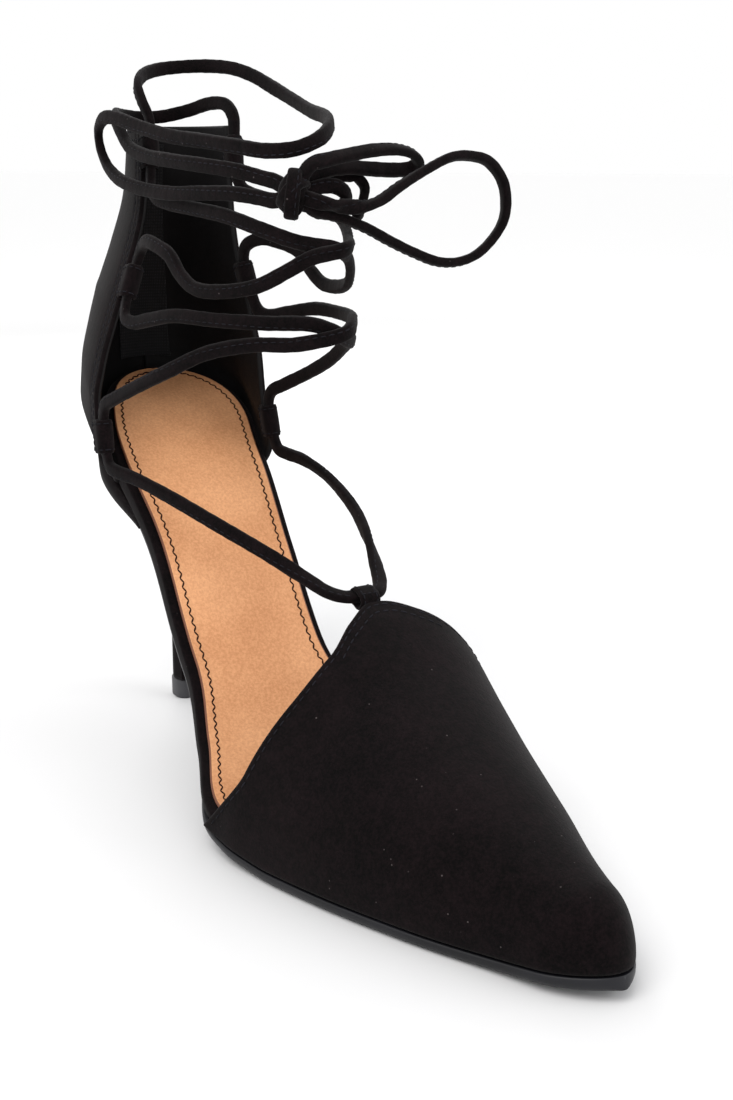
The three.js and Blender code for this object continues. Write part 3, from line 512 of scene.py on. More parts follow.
# up, back, front, frontUp, half
HEEL_SECTIONS = np.array([
    [0.00, -4.2, 4.6, 0.000, 4.3], [0.15, -4.0, 4.9, 0.220, 4.4], [0.32, -4.5, 5.3, 0.450, 4.9],
    [0.46, -6.0, 6.0, 0.620, 6.1], [0.60, -9.6, 7.4, 0.760, 8.8], [0.72, -14.6, 9.6, 0.850, 12.4],
    [0.82, -19.8, 13.0, 0.910, 16.8], [0.91, -24.6, 17.6, 0.945, 21.0], [0.97, -27.6, 22.6, 0.965, 23.6]])
print("last", LAST_LENGTH, "mm long,", BALL_WIDTH, "mm wide at the ball")

# %% [markdown]
# Each column of a table becomes a smooth function. The curve goes through every row and
# never swings past it, because its slope at a row is the harmonic mean of the two chords
# that meet there. The last's own functions follow: its joint line, its plan and its ends.

# %% Curves through the tables


def curve(table, column):
    """A cubic through column of the table against its first column, that never overshoots."""
    x = table[:, 0]
    y = table[:, column]
    slope = np.diff(y) / np.diff(x)
    before, after = slope[:-1], slope[1:]
    product = before * after
    total = np.where(product > 0, before + after, 1.0)
    tangent = np.concatenate([slope[:1], np.where(product > 0, 2 * product / total, 0.0), slope[-1:]])

    def value(place):
        place = np.asarray(place, float)
        i = np.clip(np.searchsorted(x, place) - 1, 0, len(x) - 2)
        span = x[i + 1] - x[i]
        t = np.clip((place - x[i]) / span, 0, 1)
        bend = span * (tangent[i] * t * (1 - t) ** 2 - tangent[i + 1] * t * t * (1 - t))
        return y[i] + (y[i + 1] - y[i]) * ease(t) + bend

    return value


HEEL_END = -HEEL_SETBACK
TOE_END = LAST_LENGTH - HEEL_SETBACK
TREAD_LINE = OUTSOLE_THICKNESS + SEAM / 2
board_rise, board_pad = curve(BOARD_LINE, 1), curve(BOARD_LINE, 2)
plan_centre, plan_half = curve(PLAN_OUTLINE, 1), curve(PLAN_OUTLINE, 2)
vamp_ridge, vamp_height, outer_full, inner_full = (curve(VAMP_SECTIONS, c) for c in (1, 2, 3, 4))
topline = curve(VAMP_TOPLINE, 1)
cuff_back, cuff_front, cuff_outer, cuff_inner = (curve(CUFF_SECTIONS, c) for c in (1, 2, 3, 4))


def along_of(x):
    """The share of the last's length at x."""
    return (x - HEEL_END) / LAST_LENGTH


def x_at(along):
    """The x of a share of the last's length."""
    return HEEL_END + along * LAST_LENGTH


SPRING_START = x_at(BOARD_LINE[-2, 0])


def board_height(x):
    """Height of the joint between sole and footbed, with the toe's spring."""
    spring = np.maximum(0, (x - SPRING_START) / (TOE_END - SPRING_START)) ** 2 * TOE_SPRING
    return TREAD_LINE + board_rise(along_of(x)) * (SEAT_HEIGHT - TREAD_LINE) + spring


def end_rounding(x, inset):
    """1 along the middle, falling to 0 at the toe and the heel like an ellipse."""
    toe_start = TOE_END - TOE_ROUNDING
    heel_start = HEEL_END + HEEL_ROUNDING
    toe = (x - toe_start) / (TOE_END - inset - toe_start)
    heel = (heel_start - x) / (heel_start - HEEL_END - inset)
    reach = np.clip(np.maximum(toe, heel), 0, 1)
    return np.sqrt(1 - reach ** 2)


def outline(x, inset):
    """Centre and half width of the last's plan at x, moved inwards by inset."""
    centre = plan_centre(along_of(x)) * BALL_WIDTH
    half = (plan_half(along_of(x)) * BALL_WIDTH - inset) * end_rounding(x, inset)
    return centre, half


def lift(x, offset):
    """A point at offset square to the board line: its x and z."""
    slope = board_height(x + 0.5) - board_height(x - 0.5)
    length = np.hypot(1, slope)
    return x - slope / length * offset, board_height(x) + offset / length


print("the board falls from", float(board_height(HEEL_END)), "to", float(board_height(SPRING_START)), "mm")

# %% [markdown]
# Each wall of the upper is two skins of one grid. Near every edge the two skins close on
# each other like half a circle, which gives the soft folded edge of real suede. The outer
# skin also dips a little along each row of stitches.

# %% Walls with folded edges
STITCH_DIP = 0.16
STITCH_SPREAD = 0.5


def stations(count, length, zone=1.0, steps=5):
    """Shares from 0 to 1, close together within zone millimetres of both ends."""
    edge = (1 - np.cos(np.linspace(0, np.pi / 2, steps + 1))) * zone / length
    middle = np.linspace(zone / length, 1 - zone / length, count)[1:-1]
    return np.concatenate([edge, middle, 1 - edge[::-1]])


def distances(grid, axis):
    """Distance along the grid from its first and from its last line, in millimetres."""
    step = np.linalg.norm(np.diff(grid, axis=axis), axis=-1)
    run = np.cumsum(step, axis=axis)
    start = np.zeros_like(np.take(run, [0], axis=axis))
    run = np.concatenate([start, run], axis=axis)
    return run, np.take(run, [-1], axis=axis) - run


def closing(*edges):
    """1 away from the edges, 0 on them, round in between; each edge is an array of distances."""
    share = 1.0
    for distance in edges:
        share = share * rounded(distance / (WALL / 2))
    return share


def dip(distance, *places):
    """The depth that rows of stitches press into the suede."""
    return sum(STITCH_DIP * np.exp(-((distance - place) / STITCH_SPREAD) ** 2) for place in places)


def wall_piece(name, surface, share, grooves, finishes, slot, middle=WALL / 2, half_depth=WALL / 2):
    """Two skins from surface(depth), half_depth to each side of middle, that meet at the edges."""
    half = half_depth * share
    outside = surface(middle - half + grooves * share)
    inside = surface(middle + half)
    rows, columns = outside.shape[:2]
    points = np.concatenate([outside.reshape(-1, 3), inside.reshape(-1, 3)])
    faces = [grid_faces(rows, columns), grid_faces(rows, columns, flip=True, first=rows * columns)]
    kinds = np.repeat([0, 1], [len(faces[0]), len(faces[1])])
    made = add_piece(name, points, np.concatenate(faces), finishes, slot, kinds=kinds, merge=2e-6)
    return made, outside


def normals(grid):
    """Unit normals of a grid, by its own neighbours."""
    return unit(np.cross(np.gradient(grid, axis=1), np.gradient(grid, axis=0)))


def line_at(grid, distance, place, axis):
    """Points and normals of the grid where distance equals place, one on each line of it."""
    facing = normals(grid)
    if axis == 0:
        grid, distance, facing = grid.swapaxes(0, 1), distance.T, facing.swapaxes(0, 1)
    found = []
    for points, run, face in zip(grid, distance, facing):
        order = np.argsort(run)
        if run.max() < place:
            continue
        both = np.concatenate([points, face], 1)[order]
        found.append([np.interp(place, run[order], both[:, c]) for c in range(6)])
    found = np.array(found)
    return found[:, :3], unit(found[:, 3:])


# %% [markdown]
# A stitch is a short thread that lies on the surface and goes in at both ends. One small
# capsule is worked out once and then set along a line, all stitches of a row in one mesh.

# %% Stitches
THREAD_SIDES = 6


def capsule(length, thick, along=5):
    """Points of a rounded thread with its axis along the first coordinate."""
    u = np.linspace(-np.pi / 2, np.pi / 2, along)
    v = circle(THREAD_SIDES)
    x = np.sin(u)[:, None] * length / 2 * np.ones(THREAD_SIDES)
    r = np.sqrt(np.maximum(0, 1 - np.abs(np.sin(u)) ** 3)) * thick / 2
    return np.stack([x, r[:, None] * np.cos(v), r[:, None] * np.sin(v)], -1).reshape(-1, 3)


def resample(points, step, *others):
    """The line and what goes with it at even steps of its length."""
    run = np.concatenate([[0], np.cumsum(np.linalg.norm(np.diff(points, axis=0), axis=1))])
    count = max(2, int(round(run[-1] / step)) + 1)
    at = np.linspace(0, run[-1], count)
    stack = [np.stack([np.interp(at, run, line[:, c]) for c in range(line.shape[1])], 1)
             for line in (points, *others)]
    return stack if others else stack[0]


def sew(name, lines, finish, slot, pitch=2.4, length=1.75, thick=0.42, sink=0.02, tilt=0.0):
    """Sets stitches along each line of (points, normals); tilt turns them for a zigzag."""
    shape = capsule(length, thick)
    quads = grid_faces(len(shape) // THREAD_SIDES, THREAD_SIDES, around=True)
    all_points, all_quads = [], []
    first = 0
    for line, facing in lines:
        centres, outward = resample(line, pitch, facing)
        count = len(centres)
        forward = unit(np.gradient(centres, axis=0))
        outward = unit(outward - (outward * forward).sum(-1, keepdims=True) * forward)
        side = np.cross(outward, forward)
        zigzag = tilt * (1 - 2 * (np.arange(count) % 2))[:, None]
        forward, side = turned(forward, side, zigzag)
        placed = (centres[:, None] - outward[:, None] * sink
                  + shape[None, :, :1] * forward[:, None]
                  + shape[None, :, 1:2] * side[:, None]
                  + shape[None, :, 2:] * outward[:, None])
        all_points.append(placed.reshape(-1, 3))
        all_quads.append(repeated(quads, count, len(shape), first))
        first += count * len(shape)
    return add_piece(name, np.concatenate(all_points), np.concatenate(all_quads), finish, slot, merge=1e-8)


print("one stitch has", len(capsule(1.0, 0.4)), "points")

# %% [markdown]
# The vamp is one hollow wall from the topline to the toe. Across the foot it follows the
# last's sections, each flank a curve between an ellipse and a square. Along the foot its
# rows crowd towards the toe, where the surface turns fastest.

# %% Vamp
VAMP_ROWS = 110
VAMP_COLUMNS = 150
STITCH_INSET = 2.0
SECOND_ROW_INSET = 4.4
PEAK_SPREAD = 0.09
PEAK_REACH = 0.11


def vamp_point(x, around, inset):
    """The section at x: ridge plus a superellipse to the sole edge on each side."""
    along = along_of(x)
    centre, half = outline(x, inset)
    rounding = end_rounding(x, inset)
    ridge = centre + (vamp_ridge(along) * BALL_WIDTH - centre) * rounding
    height = (vamp_height(along) * INSTEP_HEIGHT - inset) * rounding
    angle = around * np.pi
    outer_side = around < 0.5
    power = 2 / np.where(outer_side, outer_full(along), inner_full(along))
    side = np.where(outer_side, centre - half, centre + half)
    spread = np.abs(np.cos(angle)) ** power
    rise = np.abs(np.sin(angle)) ** power
    return np.stack([x, ridge + (side - ridge) * spread, board_height(x) + SEAM / 2 + height * rise], -1)


vamp_rows = stations(VAMP_ROWS, length=110.0)[:, None]
vamp_columns = stations(VAMP_COLUMNS, length=95.0)[None, :]


def vamp_surface(inset):
    """The whole vamp, moved inwards by inset."""
    start = x_at(topline(vamp_columns))
    share = np.sin(vamp_rows * np.pi / 2)
    x = start + (TOE_END - inset - start) * share
    return vamp_point(x, vamp_columns + 0 * x, inset)


vamp_middle = vamp_surface(WALL / 2 + 0 * vamp_rows * vamp_columns)
from_top, _ = distances(vamp_middle, 0)
from_outer, from_inner = distances(vamp_middle, 1)
near_loop = np.exp(-((vamp_columns - 0.5) / PEAK_SPREAD) ** 2)
vamp_grooves = dip(from_top, STITCH_INSET) + dip(from_top, SECOND_ROW_INSET) * near_loop
vamp_shell, vamp_outside = wall_piece(
    "vamp_shell", vamp_surface, closing(from_top, from_outer, from_inner), vamp_grooves,
    [suede, lining], "vamp_suede")
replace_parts(vamp_shell, "vamp")
whole_row = line_at(vamp_outside, from_top, STITCH_INSET, 0)
peak_row = line_at(vamp_outside, from_top, SECOND_ROW_INSET, 0)
off_the_edges = slice(8, -8)
peak = np.abs(vamp_columns[0] - 0.5) < PEAK_REACH
sew("vamp_stitches", [[part[off_the_edges] for part in whole_row], [part[peak] for part in peak_row]],
    thread_black, "vamp_suede")
print("vamp reaches x", round(float(vamp_outside[..., 0].max()), 1))

# %% [markdown]
# The heel cuff is sewn in two halves that meet at the centre back. Above the foot of the
# zip they part by the slot's width, and below it they leave only the line of the seam.

# %% Heel cuff
CUFF_ROWS = 110
CUFF_COLUMNS = 84
CUFF_RISE = CUFF_TOP - float(board_height(HEEL_END))
CUFF_STITCH_INSETS = (2.0, 4.3)
ZIP_STITCH_INSET = 2.2
FOOT_CLEARANCE = 4
END_CLEARANCE = 1.5
TAPER_BACK = 7.5
TAPER_IN = 1.7
TAPER_TOP = 0.2
SEAM_HALF = -0.2
SLOT_ROUNDING = 2.5
ZIP_ROW_FADE = 12
ROW_NEAR_RIM = -10


def cuff_point(around, up):
    """The wall in plan blends from the footbed's outline to half an ellipse on its way up."""
    angle = np.abs(around) * (np.pi / 2)
    share = 1 - np.cos(angle)
    base_x = HEEL_END + (CUFF_REACH - HEEL_END) * share
    centre, half = outline(base_x, 0)
    blend = np.clip((up - ELLIPSE_START) / (ELLIPSE_FROM - ELLIPSE_START), 0, 1)
    ellipse = outline(np.array(float(CUFF_REACH)), 0)[1] * np.sin(angle) ** BACK_FULLNESS
    flank = half + (ellipse - half) * blend
    edge_ratio = np.where(around < 0, cuff_outer(up), cuff_inner(up))
    back_ratio = np.minimum(1, edge_ratio)
    ratio = back_ratio + (edge_ratio - back_ratio) * share
    y = centre * (1 - up) + np.sign(around) * flank * ratio
    back_x = -cuff_back(up) * HEEL_SETBACK
    front_x = cuff_front(up) * CUFF_REACH
    base = board_height(base_x) + SEAM / 2
    return np.stack([back_x + (front_x - back_x) * share, y, base + (CUFF_TOP - base) * up], -1)


def cuff_inside(around, up, depth):
    """The same wall moved inwards by depth, square to it in plan."""
    step = 0.01
    run = cuff_point(np.minimum(around + step, 1), up) - cuff_point(np.maximum(around - step, -1), up)
    run[..., 2] = 0
    run = unit(run)
    inward = np.stack([run[..., 1], -run[..., 0], 0 * run[..., 0]], -1)
    return cuff_point(around, up) + inward * np.asarray(depth)[..., None]


def tapered(points, around, up):
    """Draws the lower front corner back and in, so that it runs out on the footbed's edge."""
    near_front = ease((np.abs(around) - 0.5) / 0.5)
    share = near_front * np.clip(1 - up / TAPER_TOP, 0, 1) ** 2
    x = points[..., 0]
    back_x = x - TAPER_BACK * share
    side = np.sign(around)
    centre, half = outline(x, 0)
    back_centre, back_half = outline(back_x, 0)
    moved_y = back_centre - centre + side * (back_half - half - TAPER_IN * share * near_front)
    return points + np.stack([back_x - x, moved_y, board_height(back_x) - board_height(x)], -1)


def back_gap(up):
    """Half the gap at the centre back: none at the seam below the zip, the slot's half beside it."""
    return SEAM_HALF + (SLOT_WIDTH / 2 - SEAM_HALF) * rounded((up - ZIP_FOOT) * CUFF_RISE / SLOT_ROUNDING)


def back_share(up, side):
    """The value of around at which the wall's edge stands back_gap from the centre back."""
    probe = np.linspace(0, 0.6, 240)
    shares = []
    for level in up:
        line = cuff_point(side * probe, np.full_like(probe, level))
        shares.append(np.interp(back_gap(level), np.abs(line[:, 1] - line[0, 1]), probe))
    return np.array(shares)


print("the cuff rises", round(CUFF_RISE, 1), "mm")

# %% [markdown]
# Both halves come from the same surface. Two rows of stitches follow the front edge and the
# rim, and one row follows the zip.

# %% The cuff's two halves
cuff_up = stations(CUFF_ROWS, length=90.0)
cuff_steps = stations(CUFF_COLUMNS, length=60.0)
cuff_lines = []
for half_name, side in (("outer", -1), ("inner", 1)):
    first = back_share(cuff_up, side)[:, None]
    around = side * (first + (1 - first) * cuff_steps[None, :])
    if side < 0:
        around = around[:, ::-1]
    up_grid = cuff_up[:, None] + 0 * around

    def cuff_surface(depth, around=around, up_grid=up_grid):
        return tapered(cuff_inside(around, up_grid, depth), around, up_grid)

    middle = cuff_surface(WALL / 2 + 0 * around)
    from_low, from_high = distances(middle, 0)
    from_first, from_last = distances(middle, 1)
    from_front, from_back = (from_first, from_last) if side < 0 else (from_last, from_first)
    beside_zip = np.clip((up_grid - ZIP_FOOT) * ZIP_ROW_FADE, 0, 1)
    thickness = closing(from_low, from_high, from_front, from_back)
    grooves = (dip(from_front, *CUFF_STITCH_INSETS) + dip(from_high, *CUFF_STITCH_INSETS)
               + dip(from_back, ZIP_STITCH_INSET) * beside_zip)
    shell, outside = wall_piece(f"cuff_{half_name}_half", cuff_surface, thickness, grooves,
                                [suede, lining], "cuff_suede")
    if side < 0:
        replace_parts(shell, "heel_cuff")
    upright = from_high[:, 0]
    for inset in CUFF_STITCH_INSETS:
        below_rim = (upright > inset) & (from_low[:, 0] > FOOT_CLEARANCE)
        cuff_lines.append([part[below_rim] for part in line_at(outside, from_front, inset, 1)])
        along_rim = (from_front[ROW_NEAR_RIM] > inset) & (from_back[ROW_NEAR_RIM] > END_CLEARANCE)
        cuff_lines.append([part[along_rim] for part in line_at(outside, from_high, inset, 0)])
    along_zip = (cuff_up > ZIP_FOOT) & (upright > END_CLEARANCE)
    cuff_lines.append([part[along_zip] for part in line_at(outside, from_back, ZIP_STITCH_INSET, 1)])
sew("cuff_stitches", cuff_lines, thread_black, "cuff_suede", pitch=2.1, length=1.6)

# %% [markdown]
# The sole, the footbed and the sock are layers that follow the board line. A layer is a
# closed ring of points carried from the heel to the toe. Its ring has two rounded upper
# corners and two rounded lower ones, and both ends are closed to a point.

# %% Layers of the sole
FOOTBED_INSET = WALL + EDGE_CLEARANCE
SOCK_INSET = FOOTBED_INSET + SOCK_MARGIN
END_GAP = 0.02
LAYER_ROWS = 150
WAIST_END = 0.60
WAIST_START = 0.50
CORNER_TURN = np.linspace(0, np.pi / 2, 5)
ACROSS = np.linspace(-1, 1, 25)[1:-1]


def pad_at(x):
    """Thickness of the padded board at x."""
    return board_pad(along_of(x)) * PAD_THICKNESS


def sole_inset(x):
    """The shank is narrower than the last, the forefoot is not."""
    return SHANK_INSET * ease((x_at(WAIST_END) - x) / (x_at(WAIST_END) - x_at(WAIST_START)))


def layer_side(half, bevel):
    """One broad side of a ring: its y from edge to edge, and how far its corners fall away."""
    corner = np.minimum(bevel, half * 0.5)
    flat = half - corner
    y = np.concatenate([-flat - corner * np.cos(CORNER_TURN), flat * ACROSS,
                        flat + corner * np.sin(CORNER_TURN)], 1)
    fall = np.concatenate([1 - np.sin(CORNER_TURN), 0 * ACROSS, 1 - np.cos(CORNER_TURN)])
    return y, fall * bevel


def layer_piece(name, ends, inset, low, high, bevel, finishes, slot, undercut=None, dish=0.0, kind_of=None):
    """Rings across the foot at each x: y runs between the outlines, z between low and high."""
    share = (1 - np.cos(np.linspace(0, np.pi, LAYER_ROWS))) / 2
    x = (ends[0] + (ends[1] - ends[0]) * share)[:, None]
    centre, half = outline(x, inset(x))
    top_y, top_fall = layer_side(half, bevel)
    low_y, low_fall = layer_side(half, undercut or bevel)
    sag = dish * np.clip(1 - (top_y / np.maximum(half, 1e-6)) ** 2, 0, 1)
    top = np.stack([*lift(x, high(x) - top_fall - sag), centre + top_y], -1)
    base = np.stack([*lift(x, low(x) + low_fall), centre - low_y], -1)
    rings = np.concatenate([top, base], 1)[..., [0, 2, 1]]
    poles = rings.mean(1, keepdims=True) + 0 * rings
    rings = np.concatenate([poles[:1], rings, poles[-1:]])
    kinds = None
    if kind_of is not None:
        column = grid_faces(rings.shape[0], rings.shape[1], around=True)[:, 0] % rings.shape[1]
        kinds = kind_of(column, top_y.shape[1])
    return ring_piece(name, rings, finishes, slot, kinds=kinds, merge=2e-6)


def rim_kinds(column, top_count):
    """The rounded upper corners and the whole underside take the dark rim."""
    corner_count = len(CORNER_TURN)
    return np.where((column >= corner_count - 1) & (column < top_count - corner_count), 0, 1)


def ends_at(inset):
    """The layer's first and last x, a hair inside the outline moved in by inset."""
    return HEEL_END + inset + END_GAP, TOE_END - inset - END_GAP


sole = layer_piece(
    "sole_shank", (HEEL_FRONT + SEAM, TOE_END - END_GAP), sole_inset,
    low=lambda x: 0 * x - SEAM / 2 - OUTSOLE_THICKNESS, high=lambda x: 0 * x - SEAM / 2,
    bevel=0.5, finishes=[sole_paint], slot="sole", undercut=2.3)
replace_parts(sole, "outsole")
board = layer_piece(
    "board_cover", ends_at(FOOTBED_INSET), lambda x: FOOTBED_INSET + 0 * x,
    low=lambda x: SEAM / 2 + 0 * x, high=lambda x: SEAM / 2 + pad_at(x),
    bevel=0.8, finishes=[suede], slot="board_cover")
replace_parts(board, "footbed")
sock_top = 1.5 * SEAM + SOCK_THICKNESS
sock = layer_piece(
    "tan_sock", ends_at(SOCK_INSET), lambda x: SOCK_INSET + 0 * x,
    low=lambda x: SEAM * 1.5 + pad_at(x), high=lambda x: sock_top + pad_at(x),
    bevel=0.42, finishes=[sock_leather, sock_rim], slot="sock", dish=0.3, kind_of=rim_kinds)
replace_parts(sock, "sock_lining")

# %% [markdown]
# A zigzag seam holds the sock's leather to its foam, a few millimetres inside the rim.

# %% Zigzag on the sock
SEAM_INSET = 2.5
SEAM_SINK = 0.06
SEAM_END_X = 112


def sock_line(side):
    """A line along one edge of the sock's top, with the surface's normals."""
    x = np.linspace(HEEL_END + SOCK_INSET + SEAM_INSET + 0.05, SEAM_END_X, 260)
    centre, half = outline(x, SOCK_INSET + SEAM_INSET)
    raised = sock_top + pad_at(x) - SEAM_SINK
    place_x, place_z = lift(x, raised)
    points = np.stack([place_x, centre + side * half, place_z], 1)
    run = np.gradient(points, axis=0)
    facing = np.stack([-run[:, 2], 0 * run[:, 0], run[:, 0]], 1)
    return points, unit(facing)


outer_line, inner_line = sock_line(-1), sock_line(1)
round_the_heel = [np.concatenate([outer[::-1], inner[1:]]) for outer, inner in zip(outer_line, inner_line)]
sew("sock_zigzag", [round_the_heel], thread_brown, "sock", pitch=1.3, length=1.75, thick=0.5, tilt=0.55)

# %% [markdown]
# The heel is a hard core covered in the same suede. Its outline is a table of half
# sections; each ring runs from the back round one side to the breast and back again.
# Towards the breast its upper edge draws in, so that it runs out into the sole's waist.

# %% Heel
HEEL_ROWS = 90
HEEL_STEPS = 40
RUN_OUT_START = 2.0
WIDEST_SEAT = 0.2
INNER_RING = 0.9
heel_back, heel_front, heel_front_up, heel_half = (curve(HEEL_SECTIONS, c) for c in (1, 2, 3, 4))


def heel_rings():
    """The heel's rings from the tip up, with x, y and z each eased to the board's outline."""
    top_base = TIP_HEIGHT + SEAM
    heel_top = float(board_height(HEEL_END)) - top_base
    breast_top = float(board_height(HEEL_FRONT)) - top_base
    steps = np.linspace(0, 1, HEEL_STEPS + 1)
    side = np.concatenate([-np.ones(HEEL_STEPS + 1), np.ones(HEEL_STEPS - 1)])
    step = np.concatenate([steps, steps[1:-1][::-1]])
    share = 1 - np.cos(step * np.pi / 2)
    top_x = HEEL_END + HEEL_INSET + (HEEL_FRONT - HEEL_END - HEEL_INSET) * share
    run_out = ease((top_x - RUN_OUT_START) / (HEEL_FRONT - RUN_OUT_START))
    centre, half = outline(top_x, HEEL_INSET + (SHANK_INSET - HEEL_INSET) * run_out)
    widest = outline(np.array(x_at(WIDEST_SEAT)), HEEL_INSET)[1]
    side_y = side * half
    up = np.linspace(0, HEEL_SECTIONS[-1, 0], HEEL_ROWS)[:, None]
    x = heel_back(up) + (heel_front(up) - heel_back(up)) * share
    y = side_y / widest * heel_half(up) + centre * up ** 2
    back_z = up * heel_top
    z = top_base + back_z + (heel_front_up(up) * breast_top - back_z) * share
    seat = np.stack([top_x, centre + side_y, board_height(top_x) - SEAM / 2], -1)[None]
    return np.concatenate([np.stack([x, y, z], -1), seat])


body_rings = heel_rings()
poles = [ring.mean(0) + 0 * ring for ring in (body_rings[0], body_rings[-1])]
inner_seat = poles[1][None] + (body_rings[-1:] - poles[1][None]) * INNER_RING
heel_cover = ring_piece(
    "heel_cover", np.concatenate([poles[0][None], body_rings, inner_seat, poles[1][None]]),
    suede, "heel_suede")
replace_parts(heel_cover, "heel")

# %% [markdown]
# The top piece is a small block of hard plastic under the heel, between round and square,
# with a narrow bevel at both of its rims. Its rings are one outline at several scales.

# %% Top piece
TIP_SIDES = 64
TIP_POWER = 0.75
TIP_BEVEL = 0.45
tip_angle = circle(TIP_SIDES)
tip_outline = np.stack([boxy(np.cos(tip_angle), TIP_POWER) * TIP_LENGTH / 2,
                        boxy(np.sin(tip_angle), TIP_POWER) * TIP_WIDTH / 2], -1)
bevel_turn = np.linspace(0, np.pi / 2, 6)
drop = TIP_BEVEL * (1 - np.cos(bevel_turn)) / (TIP_WIDTH / 2)
rise = TIP_BEVEL * (1 - np.sin(bevel_turn))
heights = np.concatenate([[0], rise[::-1], TIP_HEIGHT - rise, [TIP_HEIGHT]])
scales = np.concatenate([[0], 1 - drop[::-1], 1 - drop, [0]])
tip_rings = np.concatenate([tip_outline[None] * scales[:, None, None],
                            np.broadcast_to(heights[:, None, None], (len(heights), TIP_SIDES, 1))], -1)
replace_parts(ring_piece("top_piece", tip_rings, tip_plastic, "tip"), "heel_tip")

# %% [markdown]
# The lace is a narrow tube of suede pressed flat and stitched along one edge. A strap is a
# rounded rectangle carried along a smooth path. Its flat side faces away from the ankle,
# and near an end the profile shrinks like half a circle, so the end is rounded too.

# %% Straps
STRAP_WIDTH = 3.6
STRAP_THICK = 2.3
PROFILE_POINTS = 20
PROFILE_POWER = 0.62
UNEVEN = 0.012


def smooth_path(route, step=0.9):
    """A centripetal curve through the route's points, cut to even steps."""
    p = np.asarray(route, float)
    p = np.vstack([2 * p[0] - p[1], p, 2 * p[-1] - p[-2]])
    p0, p1, p2, p3 = p[:-3], p[1:-2], p[2:-1], p[3:]
    d0, d1, d2 = (np.sqrt(np.linalg.norm(b - a, axis=1, keepdims=True))
                  for a, b in ((p0, p1), (p1, p2), (p2, p3)))
    leave = ((p1 - p0) / d0 - (p2 - p0) / (d0 + d1) + (p2 - p1) / d1) * d1
    arrive = ((p2 - p1) / d1 - (p3 - p1) / (d1 + d2) + (p3 - p2) / d2) * d1
    u = np.linspace(0, 1, 16, endpoint=False)[None, :, None]
    a, b, leave, arrive = (v[:, None] for v in (p1, p2, leave, arrive))
    line = a + leave * u + (3 * (b - a) - 2 * leave - arrive) * u ** 2
    line = line + (2 * (a - b) + leave + arrive) * u ** 3
    return resample(np.vstack([line.reshape(-1, 3), p[-2]]), step)


def run_of(path):
    """Distance along the path at each of its points."""
    return np.concatenate([[0], np.cumsum(np.linalg.norm(np.diff(path, axis=0), axis=1))])


def soften(values, window):
    """A moving mean along the first axis."""
    kernel = np.hanning(2 * window + 3)[1:-1]
    kernel = kernel / kernel.sum()
    padded = np.pad(values, ((window, window), (0, 0)), mode="edge")
    return np.stack([np.convolve(column, kernel, "valid") for column in padded.T], 1)


def frame_along(path, facing, closed=False):
    """Unit vectors along the path, out of its flat side and across it."""
    if closed:
        around = np.pad(path, ((1, 1), (0, 0)), mode="wrap")
        forward = unit(around[2:] - around[:-2])
    else:
        forward = unit(np.gradient(path, axis=0))
    outward = unit(facing - (facing * forward).sum(-1, keepdims=True) * forward)
    return forward, outward, np.cross(forward, outward)


def strap(name, path, facing, finish, slot, width=STRAP_WIDTH, thick=STRAP_THICK, closed=False):
    """Carries the rounded profile along the path; facing says where its flat side looks."""
    if not closed:
        run = run_of(path)
        edge = thick / 2 * (1 - np.cos(np.linspace(0, np.pi / 2, 6)))
        inside = run[(run > edge[-1]) & (run < run[-1] - edge[-1])]
        at = np.concatenate([edge, inside, run[-1] - edge[::-1]])
        path, facing = (np.stack([np.interp(at, run, column) for column in line.T], 1)
                        for line in (path, facing))
        close = rounded(np.minimum(at, run[-1] - at) / (thick / 2))
    else:
        close = np.ones(len(path))
    _, outward, across = frame_along(path, facing, closed)
    angle = circle(PROFILE_POINTS)
    wide = boxy(np.cos(angle), PROFILE_POWER)
    high = boxy(np.sin(angle), PROFILE_POWER)
    along = np.arange(len(path))
    uneven = 1 + UNEVEN * (np.sin(along * 0.9) + np.sin(along * 1.7 + 1) + np.sin(along * 0.31 + 2))
    half_width = ((width / 2 - thick / 2 * (1 - close)) * uneven)[:, None, None]
    half_thick = (thick / 2 * close * uneven)[:, None, None]
    points = (path[:, None] + across[:, None] * wide[None, :, None] * half_width
              + outward[:, None] * high[None, :, None] * half_thick)
    if closed:
        points = np.concatenate([points, points[:1]])
    return ring_piece(name, points, finish, slot)


def strap_seam(path, facing, shift, closed=False, thick=STRAP_THICK):
    """A line on the strap's outer side, shift millimetres off its middle, with its normals."""
    _, outward, across = frame_along(path, facing, closed)
    return path + across * shift + outward * thick / 2, outward


print("lace", STRAP_WIDTH, "mm wide and", STRAP_THICK, "mm thick")

# %% [markdown]
# The lace starts as one strap through the loop on the vamp. Its two halves cross twice
# over the instep, each time one above the other, and climb through the loops of the cuff.

